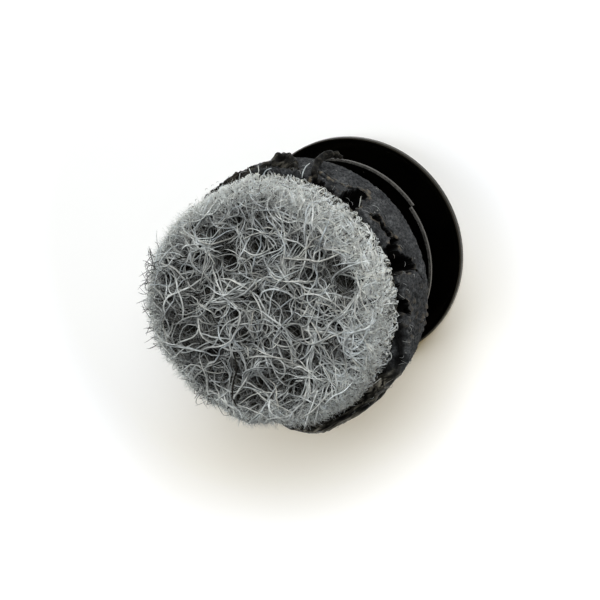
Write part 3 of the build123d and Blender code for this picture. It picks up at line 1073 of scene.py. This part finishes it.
dark_hollows = [
    # pixel across, pixel down, half width in mm
    (204, 261, 0.80), (229, 262, 0.72), (256, 246, 0.70), (188, 271, 0.55), (168, 281, 0.45),
    (207, 291, 0.65), (256, 296, 0.60), (296, 251, 0.55), (309, 277, 0.70), (345, 284, 0.80),
    (299, 292, 0.45), (294, 333, 0.65), (298, 348, 0.50), (267, 345, 0.50), (244, 338, 0.70),
    (292, 389, 0.62), (202, 381, 0.60), (257, 382, 0.52), (234, 316, 0.60), (255, 408, 0.60),
    (191, 329, 0.55), (168, 327, 0.50), (288, 312, 0.40), (336, 329, 0.42), (222, 205, 0.50),
    (263, 196, 0.50), (232, 219, 0.50), (212, 354, 0.60), (318, 255, 0.40),
]
pale_mats = [
    # pixel across, pixel down, half width in mm
    (352, 322, 1.2), (374, 300, 1.4), (357, 252, 1.3), (324, 298, 0.7), (347, 395, 1.1), (366, 345, 1.2),
    (217, 203, 1.0), (175, 252, 0.8), (330, 222, 1.4), (290, 205, 1.0), (338, 372, 0.9), (305, 420, 1.0),
]
felt_dips = [
    (5.5, 2.2), (4.3, 0.3), (4.2, -2.6), (5.8, 6.0), (3.4, 3.4), (1.2, -0.1), (2.2, -5.3), (-0.1, -5.1),
    (-2.1, -7.4), (-3.2, -1.3), (-2.9, 1.4), (-6.9, 1.6), (-5.0, 4.0), (0.5, 2.5), (1.5, 6.6), (-4.7, -4.6),
    (7.0, -2.0), (-1.1, 6.2),
]
dip_spots = [(spot, 0.85) for spot in felt_dips]
hollow_spots = [(face_spot(x, y, felt_front), wide) for x, y, wide in dark_hollows]
mat_spots = [(face_spot(x, y, felt_front), wide) for x, y, wide in pale_mats]
print(len(hollow_spots), "hollows,", len(mat_spots), "mats and", len(dip_spots), "dips")

# %% [markdown]
# ## On the felt's surface
# Two questions come back for every fibre: how matted is this spot, and where does a flat spot lie in
# space? Both get one function each. The rim is made paler too, a painted light that is strongest on the
# side that the key lamp reaches.

# %% Spots and surface
brightest_direction = radians(-62.0)


def widest_spot(spots, x, y, power):
    """The largest of exp(-(distance / width)^power) over a list of spots."""
    share = np.zeros(np.broadcast(x, y).shape)
    for (at_x, at_y), wide in spots:
        share = np.maximum(share, np.exp(-((np.hypot(x - at_x, y - at_y) / wide) ** power)))
    return share


def mats_and_painted_rim_light(x, y):
    """0 on loose felt, 1 in the middle of a pale pressed patch, and high near the rim as painted light, most
    on the -Y side towards the lamps.
    """
    reach = np.hypot(x, y)
    # the rim is made paler towards the lamps: painted light
    facing_lamps = smooth_step(-0.35, 0.25, -y / np.maximum(reach, 0.1))
    painted_lamp_light = np.maximum(np.cos(np.arctan2(y, x) - brightest_direction), 0.0) ** 2
    rim = smooth_step(face_reach - 1.3, face_reach + 0.3, reach) * (0.62 + 0.38 * facing_lamps + 0.35 * painted_lamp_light)
    return np.maximum(widest_spot(mat_spots, x, y, 2), rim)


def on_surface(x, y, lift):
    """Flat felt coordinates and a height as a point in space: P(distance) + lift * N(distance)."""
    distance = np.hypot(x, y)
    turn = np.arctan2(y, x)
    inside = np.minimum(distance, whole_reach)
    worn = np.interp(turn, worn_turns, worn_extra) * smooth_step(5.5, 9.6, inside)
    radius = np.interp(inside, profile_length, profile_radius) + worn
    radius = radius + lift * np.interp(inside, profile_length, lean_out)
    height = np.interp(inside, profile_length, profile_height)
    height = height + lift * np.interp(inside, profile_length, lean_up)
    return np.stack([radius * np.cos(turn), radius * np.sin(turn), height], axis=-1)


print("the felt's middle lies at", on_surface(0.0, 0.0, 0.0).round(2), "mm")

# %% [markdown]
# ## Pores
# Rubbing has opened pores in the felt, and the fibres between them are squeezed into strands that meet at
# knots. Instead of weaving such a net by hand, fibres are laid at random and then pushed away from every
# pore. A few large pores are placed where the photograph shows them and small ones fill the rest.

# %% Pores
pore_chance = np.random.default_rng(31)
pore_spacing = 0.60
pore_tries = 2600
pores = list(hollow_spots)
for spot in pore_chance.uniform(-face_reach, face_reach, (pore_tries, 2)):
    if np.hypot(*spot) > face_reach - 0.1 or pore_chance.random() < 0.75 * mats_and_painted_rim_light(*spot):
        continue
    wide = 0.20 + 0.34 * pore_chance.random() ** 2
    if all(np.hypot(*(spot - other)) > pore_spacing + 0.8 * (wide + size) for other, size in pores):
        pores.append((spot, wide))


def squeezed(x, y, strength):
    """Pushes flat points off every pore: by strength * width * exp(-(d / width)^2) * d / (d + width / 6)."""
    across, along = np.zeros_like(x), np.zeros_like(y)
    for (at_x, at_y), wide in pores:
        away_x, away_y = x - at_x, y - at_y
        gap = np.hypot(away_x, away_y) + 1e-6
        push = strength * wide * np.exp(-((gap / wide) ** 2)) / (gap + wide / 6)
        across += away_x * push
        along += away_y * push
    return x + across, y + along


def openness(x, y):
    """How deep in a pore a flat point is: 0 on the strands, 1 in the middle of a pore."""
    return widest_spot(pores, x, y, 3)


print(len(pores), "pores")

# %% [markdown]
# ## The felt's core
# Under the loose fibres lies a dense mass. It is one closed skin with soft clumps and the pores that wear
# has opened. It is coloured dark as the painted shade under the fibres, and darker still in the pores.

# %% Clumps
def clumps(x, y):
    """Slow rise and fall of the felt's mass in mm; the same for the core and for the fibres on it."""
    chance = np.random.default_rng(23)
    slow = 0.10 * flat_noise(chance, x, y, 3.4) + 0.08 * flat_noise(chance, x, y, 1.5)
    return slow - 0.26 * widest_spot(dip_spots, x, y, 3)


print("the felt's middle is", round(float(clumps(0.0, 0.0)), 2), "mm off its mean level")

# %% [markdown]
# ## The core's mesh
# The mass of the felt could be a plain disc, but then light would show a flat floor between the fibres.
# Rings of points follow the face, the rim and the side, lowered under the fibres and more so in the pores.
# One point closes the middle of the face and one the glued back.

# %% Core mesh
core_columns = 380
core_rows = 96
core_distance = np.linspace(0.12, whole_reach - 0.02, core_rows)
core_turn = np.arange(core_columns) * 2 * pi / core_columns
core_x = core_distance[:, None] * np.cos(core_turn)
core_y = core_distance[:, None] * np.sin(core_turn)

felt_chance = np.random.default_rng(7)
fade_to_back = 1 - smooth_step(whole_reach - 0.5, whole_reach, core_distance)[:, None]
core_open = openness(core_x, core_y)
core_lift = clumps(core_x, core_y) + 0.05 * flat_noise(felt_chance, core_x, core_y, 0.45, 60)
core_lift = core_lift - 0.32 - 0.38 * core_open
core_surface = on_surface(core_x, core_y, core_lift * fade_to_back)
core_surface[..., 2] = np.maximum(core_surface[..., 2], felt_back)
core_points = np.concatenate(
    [[[0, 0, felt_back]], core_surface[::-1].reshape(-1, 3), [[0, 0, core_surface[0, :, 2].mean()]]]
)
core_quads, core_caps = turned_grid(core_rows, core_columns)
# paler in the mats, paler on the rim as painted light, darker in the pores as painted shade
core_pale_and_painted_shade = np.clip(0.55 + 0.45 * mats_and_painted_rim_light(core_x, core_y) - 0.35 * core_open, 0.05, 1)
core_shade = np.concatenate([[0.5], core_pale_and_painted_shade[::-1].ravel(), [0.5]])
print("the core's skin lies", round(float(-core_lift.mean()), 2), "mm below the felt's face on average")

# %% [markdown]
# ## The core's finish
# The core's finish draws more fibres than could be modelled: three noises, each stretched one way and
# turned by a different angle, are laid over each other like strokes, in dark colours that paint the shade
# under the fibres.

# %% Core finish
stroke_turns = ((15.0, 0.16), (78.0, 0.14), (135.0, 0.18))
core_painted_shade_stops = [(0.50, (0.012, 0.0108, 0.0082)), (0.60, (0.063, 0.060, 0.050)), (0.72, (0.26, 0.265, 0.255))]

core_material, tree, shader = new_material("felt_mass")
place = object_place(tree)
strokes = None
for turn, squeeze_across in stroke_turns:
    drawn_out = stretched(tree, place, (squeeze_across, 1.0, 0.6), turn)
    stroke = noise(tree, drawn_out, 7500.0, 2.0, 0.5)
    strokes = stroke if strokes is None else math_node(tree, "MAXIMUM", strokes, stroke)
mottle = ramp(tree, noise(tree, place, 700.0, 3.0), [(0.35, (0.55, 0.55, 0.52)), (0.65, (1.3, 1.32, 1.3))])
core_colour = mix_colour(tree, 1.0, ramp(tree, strokes, core_painted_shade_stops), mottle, "MULTIPLY")
core_colour = mix_colour(tree, 0.9, core_colour, stored_shade(tree), "MULTIPLY")
set_inputs(tree, shader, {"Base Color": core_colour, "Roughness": 0.95, "Specular IOR Level": 0.1})
bump(tree, shader, strokes, 0.12 * mm, 1.0)
show(tree, shader.outputs[0])

core = piece_from_arrays(
    "felt_core", core_points, core_quads, core_caps, core_material, np.repeat(core_shade[:, None], 3, axis=1)
)
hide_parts("felt_pad")

# %% [markdown]
# ## The fibres' finish
# The fibres' own finish reads the colour that each fibre was given and roughens it a little along its
# length. Wool lets light through, so part of the light that falls on a fibre's far side comes out at its
# near side. That makes the fuzz glow against the white surround.

# %% Fibre finish
glow_share = 0.30
fleck_stops = [(0.32, (0.72, 0.72, 0.71)), (0.66, (1.12, 1.12, 1.12))]

fibre_material, tree, shader = new_material("felt_fibre")
flecks = ramp(tree, noise(tree, object_place(tree), 2600.0, 2.0), fleck_stops)
fibre_colour = mix_colour(tree, 1.0, stored_shade(tree), flecks, "MULTIPLY")
set_inputs(tree, shader, {"Base Color": fibre_colour, "Roughness": 0.60, "Specular IOR Level": 0.35})
bump(tree, shader, flecks, 0.02 * mm, 0.4)
glow = colour_shader(tree, "BsdfTranslucent", fibre_colour)
show(tree, mix_shader(tree, glow_share, shader.outputs[0], glow))
print("fibres let", glow_share, "of their light through")

# %% [markdown]
# ## Tones of the fibres
# The felt is a mix of near-black and pale grey fibres, and its greyness drifts slowly over the face. Each
# fibre gets its own tone, so that the mix shows in every layer, and one material can serve them all.

# %% Fibre tones
fibre_dark = np.array([0.016, 0.0140, 0.0105])
fibre_pale = np.array([0.76, 0.785, 0.77])


def mood(x, y):
    """Slow drift of the felt's greyness over its face, between about -0.2 and 0.2."""
    return 0.09 * flat_noise(np.random.default_rng(91), x, y, 3.6)


def fibre_tone(pale, chance, dark_share):
    """Colours from near-black to pale grey, for each step of each fibre: dark + (pale - dark) * tone^1.4."""
    count = len(pale)
    tone = np.clip(pale + chance.normal(0, 0.10, count)[:, None], 0, 1) ** 1.4
    dark = chance.random(count)[:, None] < dark_share
    tone = np.where(dark, chance.uniform(0.0, 0.06, count)[:, None], tone)
    warm = chance.normal(0, 0.02, count)[:, None, None] * np.array([1.0, 0.2, -1.0])
    return np.clip((fibre_dark + (fibre_pale - fibre_dark) * tone[:, :, None]) * (1 + warm), 0.004, 0.95)


print("fibres run from", fibre_dark, "to", fibre_pale)

# %% [markdown]
# ## Paths of the fibres
# A fibre lies in a long easy curve. Its direction turns at a steady rate, with a slow sway on top, and the
# path is the running sum of that direction. Where fibres start is random, but some kinds like the mats and
# shun the pores.

# %% Fibre paths
def wandering(chance, start_x, start_y, heading, length, bend, sway, steps):
    """Flat paths: heading + bend * s + sway * sin(...), summed step by step, centred on their start."""
    count = len(start_x)
    place = np.linspace(0, 1, steps)[None, :] * length[:, None]
    phase = chance.uniform(0, 2 * pi, count)[:, None]
    pace = chance.uniform(0.6, 1.6, count)[:, None]
    angle = heading[:, None] + bend[:, None] * place + sway[:, None] * np.sin(pace * place + phase)
    step = (length / (steps - 1))[:, None]
    x = np.cumsum(np.cos(angle), axis=1) * step
    y = np.cumsum(np.sin(angle), axis=1) * step
    middle = steps // 2
    x = x - x[:, middle : middle + 1] + start_x[:, None]
    y = y - y[:, middle : middle + 1] + start_y[:, None]
    return x, y, place


def scattered(chance, count, inner, outer, liking=None):
    """Random flat spots between two distances from the middle, kept more often where they are liked."""
    reach = np.sqrt(chance.uniform(inner**2, outer**2, 6 * count))
    turn = chance.uniform(-pi, pi, 6 * count)
    x, y = reach * np.cos(turn), reach * np.sin(turn)
    if liking is not None:
        kept = chance.random(6 * count) < liking(x, y)
        x, y = x[kept], y[kept]
    return x[:count], y[:count]


def off_pores(x, y):
    """Likes strands and mats, and shuns the middle of pores."""
    return np.clip(0.9 - 0.75 * openness(x, y) + 0.3 * mats_and_painted_rim_light(x, y), 0, 1)


def in_mats(x, y):
    """Likes the pale mats, in patches a millimetre wide with gaps between them."""
    return mats_and_painted_rim_light(x, y) ** 2 * smooth_step(-0.4, 0.4, flat_noise(np.random.default_rng(63), x, y, 1.3))


print("share of fibres kept at the felt's middle:", round(float(off_pores(0.0, 0.0)), 2))

# %% [markdown]
# ## Laying a layer
# A layer is laid in steps: start spots, headings and bends, the wandering path, the push off the pores,
# the height over the face, and the tone. The heights sway, so fibres pass over and under each other. Some
# fibres come in bundles that meet in their middle, as felt does where it pills.

# %% A layer of fibres
bundle_spread = 0.09
bundle_turn = 0.38
height_sway = 0.09


def lay_fibres(name, seed, spots, steps, lengths, widths, lifts, pale, dark_share, curve, push,
               bundle=1, dive=0.0):
    """Fibres over face, rim and side; those of a bundle meet in their middle and dive at their ends."""
    chance = np.random.default_rng(seed)
    groups = len(spots[0])
    count = groups * bundle
    apart = 0.0 if bundle == 1 else 1.0
    start_x = np.repeat(spots[0], bundle) + apart * chance.normal(0, bundle_spread, count)
    start_y = np.repeat(spots[1], bundle) + apart * chance.normal(0, bundle_spread, count)
    length = chance.uniform(*lengths, count)
    bend = np.repeat(chance.normal(0, curve, groups), bundle) + apart * chance.normal(0, 0.5 * curve, count)
    sway = chance.uniform(0.2, 1.0, count) * (1 - 0.6 * apart)
    heading = np.repeat(chance.uniform(0, 2 * pi, groups), bundle)
    heading = heading + apart * chance.normal(0, bundle_turn, count)
    x, y, place = wandering(chance, start_x, start_y, heading, length, bend, sway, steps)
    x, y = squeezed(x, y, push)
    distance = np.hypot(x, y)
    shrink = np.minimum(1.0, (whole_reach - 0.05) / np.maximum(distance, 0.01))
    x, y = x * shrink, y * shrink
    base = chance.uniform(*lifts, count)[:, None]
    roll_pace = chance.uniform(0.8, 2.4, count)[:, None]
    roll = height_sway * np.sin(roll_pace * place + chance.uniform(0, 6, count)[:, None])
    open_here = openness(x, y)
    low_layer = np.clip((0.12 - base) / 0.4, 0, 1)
    side = smooth_step(face_reach, face_reach + 1.0, np.hypot(x, y))
    sunk_ends = dive * (2 * place / length[:, None] - 1) ** 2
    lift = base * (1 - 0.6 * side) + roll * (1 - 0.7 * side) + clumps(x, y) - 0.5 * open_here * low_layer
    lift = lift - sunk_ends * (1 - side)
    paths = on_surface(x, y, lift)
    paths[..., 2] = np.maximum(paths[..., 2], felt_back + 0.05)
    # darker in the pores and where the ends dive under: painted shade
    tones = pale + mood(x, y) + 0.34 * mats_and_painted_rim_light(x, y) - 0.30 * open_here * low_layer - 0.8 * sunk_ends
    radii = chance.uniform(*widths, count)
    piece = tube_mesh(name, paths, radii, fibre_material, fibre_tone(tones, chance, dark_share))


print("a bundle's fibres start within about", bundle_spread, "mm of each other")

# %% [markdown]
# ## The layers
# Deep layers are short and dark, their dark tone a painted shade of the depth, upper ones long and pale,
# and a few strands lie on top of all. One list holds them from the bottom to the top, so a layer can be
# made denser or paler by a single number.

# %% Layers
spot_chance = np.random.default_rng(77)
face_end = whole_reach - 0.9
layers = [
    # name, seed, count, outer reach, liking, steps, lengths, radii, heights, tone, dark share, curve, push,
    # and for bundles: fibres in one, dive of the ends
    ("felt_deep_fibres", 101, 2300, face_end, None,
     7, (1.2, 3.0), (0.030, 0.050), (-0.42, -0.20), 0.14, 0.30, 0.6, 0.15),
    ("felt_low_fibres", 102, 1600, face_end, off_pores,
     10, (1.8, 4.2), (0.024, 0.044), (-0.26, -0.06), 0.28, 0.20, 0.5, 0.5),
    ("felt_fine_fibres", 107, 2500, face_end, off_pores,
     8, (1.2, 3.6), (0.014, 0.026), (-0.24, 0.04), 0.54, 0.05, 0.45, 0.55),
    ("felt_web_fibres", 103, 130, face_end, off_pores,
     16, (2.6, 5.5), (0.044, 0.082), (-0.06, 0.14), 0.75, 0.03, 0.36, 0.75, 4, 0.30),
    ("felt_single_strands", 108, 360, face_end, off_pores,
     17, (3.0, 6.5), (0.044, 0.080), (-0.06, 0.14), 0.77, 0.03, 0.52, 0.75, 1, 0.30),
    ("felt_top_fibres", 104, 50, face_end - 0.6, None,
     20, (4.0, 7.5), (0.052, 0.090), (0.08, 0.24), 0.90, 0.0, 0.30, 0.6, 3, 0.34),
    ("felt_mat_fibres", 106, 1500, face_reach + 0.3, in_mats,
     7, (0.8, 2.0), (0.020, 0.036), (-0.14, 0.05), 0.64, 0.10, 0.9, 0.3),
]
for name, seed, count, outer, liking, *look in layers:
    lay_fibres(name, seed, scattered(spot_chance, count, 0, outer, liking), *look)

# %% [markdown]
# ## Knots
# Here and there several pale fibres cross at one place, where the felt has pilled. Each knot was found on
# the photograph and gets a handful of long fibres that start near it.

# %% Knots
knot_pixels = [
    # pixel across, pixel down
    (323, 297), (199, 243), (273, 258), (238, 256), (349, 327), (205, 250), (302, 300), (270, 237),
    (284, 344), (340, 312), (226, 300), (330, 385), (310, 372),
]
knot_fibres = 5
knot_spread = 0.26
knot_chance = np.random.default_rng(55)
knot_x, knot_y = np.array([face_spot(x, y, felt_front) for x, y in knot_pixels]).T
knot_count = len(knot_x) * knot_fibres
spread_x = np.repeat(knot_x, knot_fibres) + knot_chance.normal(0, knot_spread, knot_count)
spread_y = np.repeat(knot_y, knot_fibres) + knot_chance.normal(0, knot_spread, knot_count)
lay_fibres("felt_knots", 105, (spread_x, spread_y),
           18, (2.0, 4.5), (0.045, 0.062), (0.08, 0.2), 0.92, 0.0, 0.3, 0.5)

# %% [markdown]
# ## The cut side
# The side of the disc was cut, so its fibres end there in a crowd of short pale curls with dark gaps
# between. They are the same tubes, short and strongly bent, each arched off the surface, and a noise
# gathers them into tufts. The same noise makes the raised tufts paler and the gaps darker, a painted shade.

# %% Cut side
curl_count = 7200
curl_steps = 4
curl_chance = np.random.default_rng(61)
curl_start = scattered(curl_chance, curl_count, face_reach + 0.05, whole_reach - 0.05)
curl_length = curl_chance.uniform(0.22, 0.60, curl_count)
curl_x, curl_y, curl_place = wandering(
    curl_chance, *curl_start, curl_chance.uniform(0, 2 * pi, curl_count), curl_length,
    curl_chance.normal(0, 2.0, curl_count), curl_chance.uniform(0.2, 1.2, curl_count), curl_steps,
)
curl_share = pi * curl_place / curl_length[:, None]
curl_arch = np.sin(curl_share * curl_chance.uniform(0.4, 1.0, curl_count)[:, None])
tuft = flat_noise(np.random.default_rng(62), curl_x, curl_y, 0.95, 60)
curl_lift = -0.26 + curl_chance.uniform(0.10, 0.48, curl_count)[:, None] * curl_arch + 0.07 * tuft
curl_paths = on_surface(curl_x, curl_y, curl_lift + clumps(curl_x, curl_y) * 0.5)
curl_paths[..., 2] = np.maximum(curl_paths[..., 2], felt_back + 0.03)
curls = tube_mesh(
    "felt_cut_side", curl_paths, curl_chance.uniform(0.040, 0.062, curl_count), fibre_material,
    # raised tufts paler and gaps darker by the same noise: painted shade
    fibre_tone(0.53 + 0.38 * mats_and_painted_rim_light(curl_x, curl_y) + 0.32 * tuft, curl_chance, 0.12),
)

# %% [markdown]
# ## Fuzz at the outline
# At the outline a haze of very thin hairs stands off the body, with longer strays among them, and on the
# worn side thicker dark ones too. Particle hair could do this, but tubes with stored tones match the
# fibres of the face.

# %% Hairs that stand off
def outline_hairs(name, seed, spots, steps, lean, heights, widths, pale, dark_share):
    """Hairs off rim and side: root + outward * height * place, while they lean and bend along it."""
    chance = np.random.default_rng(seed)
    count = len(spots[0])
    place = np.linspace(0, 1, steps)[None, :]
    heading = chance.uniform(0, 2 * pi, count)[:, None]
    drift = chance.uniform(*lean, count)[:, None] * place
    drift = drift * (1 + chance.normal(0, 0.5, count)[:, None] * place)
    turn = heading + chance.normal(0, 0.9, count)[:, None] * place
    x = spots[0][:, None] + drift * np.cos(turn)
    y = spots[1][:, None] + drift * np.sin(turn)
    rise = place * (1 - 0.35 * chance.random(count)[:, None] * place)
    lift = -0.15 + chance.uniform(*heights, count)[:, None] * rise
    paths = on_surface(x, y, lift + clumps(x, y) * 0.5)
    paths[..., 2] = np.maximum(paths[..., 2], felt_back + 0.06)
    tones = np.full((count, steps), pale)
    radii = chance.uniform(*widths, count)
    hairs = tube_mesh(name, paths, radii, fibre_material, fibre_tone(tones, chance, dark_share))


rim_chance = np.random.default_rng(67)
outline_hairs("felt_nap", 68, scattered(rim_chance, 6200, face_reach - 0.2, face_reach + 1.6), 3,
              (0.1, 0.7), (0.35, 1.05), (0.009, 0.015), 1.0, 0.0)
outline_hairs("felt_strays", 69, scattered(rim_chance, 320, face_reach - 0.4, face_reach + 1.8), 7,
              (0.4, 1.3), (0.3, 1.0), (0.016, 0.028), 0.85, 0.12)

# %% [markdown]
# ## Dark hairs on the worn side
# On the left side, which is worn, dark hairs stick out in bunches. They could be mixed into the haze at
# random. The bunches show clearly in the photograph, so their middles are pixels on it, and the hairs
# spread round them.

# %% Dark hairs
dark_patch_pixels = [
    # pixel across, pixel down
    (150, 262), (141, 290), (143, 310), (150, 325), (158, 268), (147, 275), (163, 345), (205, 395),
]
dark_hairs = 16
dark_spread = 0.55
dark_chance = np.random.default_rng(70)
dark_x, dark_y = np.array([face_spot(x, y, felt_front - 0.3) for x, y in dark_patch_pixels]).T
dark_count = len(dark_x) * dark_hairs
dark_spots = (
    np.repeat(dark_x, dark_hairs) + dark_chance.normal(0, dark_spread, dark_count),
    np.repeat(dark_y, dark_hairs) + dark_chance.normal(0, dark_spread, dark_count),
)
outline_hairs("felt_dark_hairs", 71, dark_spots, 7, (0.5, 1.6), (0.45, 1.75), (0.018, 0.034), 0.12, 0.6)

# %% [markdown]
# ## Hairs placed one by one
# A few loose hairs are so plain in the photograph that they belong at their own places: a loop low on the
# right, pale strands over the lower edge and single hairs at the top. One thin pale line on the film's flap
# is a painted highlight, made as a hair. Their stops are pixels with a height, carried back along the sight
# lines.

# %% Hairs placed one by one
placed_hairs = [
    # thickness, then stops (pixel across, pixel down, height in mm)
    (0.045, [(302, 178, 18.0), (303, 172, 18.2), (306, 166, 18.3), (310, 163, 18.2)]),
    (0.040, [(383, 357, 17.8), (386, 350, 18.1), (391, 352, 18.2), (392, 358, 18.1), (388, 362, 17.9),
             (384, 359, 17.7)]),
    # a pale line along the film's flap: a painted highlight on its edge, made as a thin hair
    (0.028, [(360, 389, 18.2), (368, 388, 18.2), (374, 384, 18.2), (381, 378, 18.1)]),
    (0.080, [(318, 390, 20.9), (313, 404, 20.9), (308, 416, 20.7), (304, 429, 20.1)]),
    (0.070, [(324, 386, 20.9), (320, 402, 20.9), (317, 414, 20.7), (314, 425, 20.2)]),
    (0.065, [(331, 392, 20.9), (322, 401, 20.9), (312, 412, 20.8), (303, 417, 20.8)]),
    (0.065, [(352, 383, 20.9), (344, 392, 20.9), (333, 396, 20.9), (325, 404, 20.8)]),
    (0.040, [(252, 180, 17.8), (251, 173, 18.2), (249, 168, 18.4)]),
    (0.035, [(257, 178, 17.8), (259, 171, 18.2), (258, 165, 18.4)]),
    (0.040, [(262, 177, 17.8), (266, 170, 18.3), (272, 168, 18.4)]),
    (0.035, [(240, 185, 17.8), (239, 178, 18.2), (240, 173, 18.3)]),
    (0.040, [(359, 207, 18.0), (360, 202, 18.2), (361, 196, 18.3)]),
]
hair_steps = 16
hair_paths = []
for _, stops in placed_hairs:
    route = np.array([[*face_spot(across, down, height), height] for across, down, height in stops])
    hair_paths.append(smoothed(route, hair_steps, 3))
hairs = tube_mesh(
    "placed_hairs", np.array(hair_paths), np.array([thick for thick, _ in placed_hairs]), fibre_material,
    fibre_tone(np.full((len(placed_hairs), hair_steps), 0.9), np.random.default_rng(90), 0.0),
)

# %% [markdown]
# ## Lint on the rubber
# Short pale hairs from the felt have stuck to the dark rubber just behind it. They are the same tubes,
# laid on the rubber's skin, more of them near the felt than far from it.

# %% Lint places
lint_count = 150
lint_steps = 5
lint_chance = np.random.default_rng(71)
lint_turn = lint_chance.uniform(0, 2 * pi, lint_count)
lint_drop = 0.1 + 3.2 * lint_chance.random(lint_count) ** 2.4
lint_heading = lint_chance.uniform(0, 2 * pi, lint_count)
lint_length = lint_chance.uniform(0.25, 0.85, lint_count)
lint_place = np.linspace(0, 1, lint_steps)[None, :]
lint_across = np.cos(lint_heading)[:, None] * lint_length[:, None] * lint_place
lint_up = np.sin(lint_heading)[:, None] * lint_length[:, None] * lint_place
lint_around = lint_turn[:, None] + lint_across / rubber_radius
lint_height = np.minimum(rubber_front - lint_drop[:, None] + lint_up, rubber_front - 0.02)
print("lint lies down to", round(float(lint_drop.max()), 2), "mm behind the felt")

# %% [markdown]
# ## Lint laid on the skin
# Lint has to lie on the rough skin and neither sink in nor float. A ray could be cast for each point, but
# the side is already a grid, so the nearest radius is read from it and a small gap is added.

# %% Lint
columns_at = np.round(lint_around / (2 * pi) * rubber_columns).astype(int) % rubber_columns
rows_at = np.round((lint_height - rubber_back) / (rubber_front - rubber_back) * (side_rows - 1)).astype(int)
lint_radius = side_radius[np.clip(rows_at, 0, side_rows - 1), columns_at]
lint_radius = np.maximum(lint_radius, rubber_radius - 0.4) + 0.03 + 0.10 * np.sin(pi * lint_place)
lint_shift = back_off_centre * (rubber_front - lint_height) / (rubber_front - rubber_back)
lint_paths = np.stack(
    [lint_radius * np.cos(lint_around) - lint_shift, lint_radius * np.sin(lint_around), lint_height], axis=-1
)
lint = tube_mesh(
    "lint_on_rubber", lint_paths, lint_chance.uniform(0.014, 0.024, lint_count), fibre_material,
    fibre_tone(np.full((lint_count, lint_steps), 0.5), lint_chance, 0.1),
)
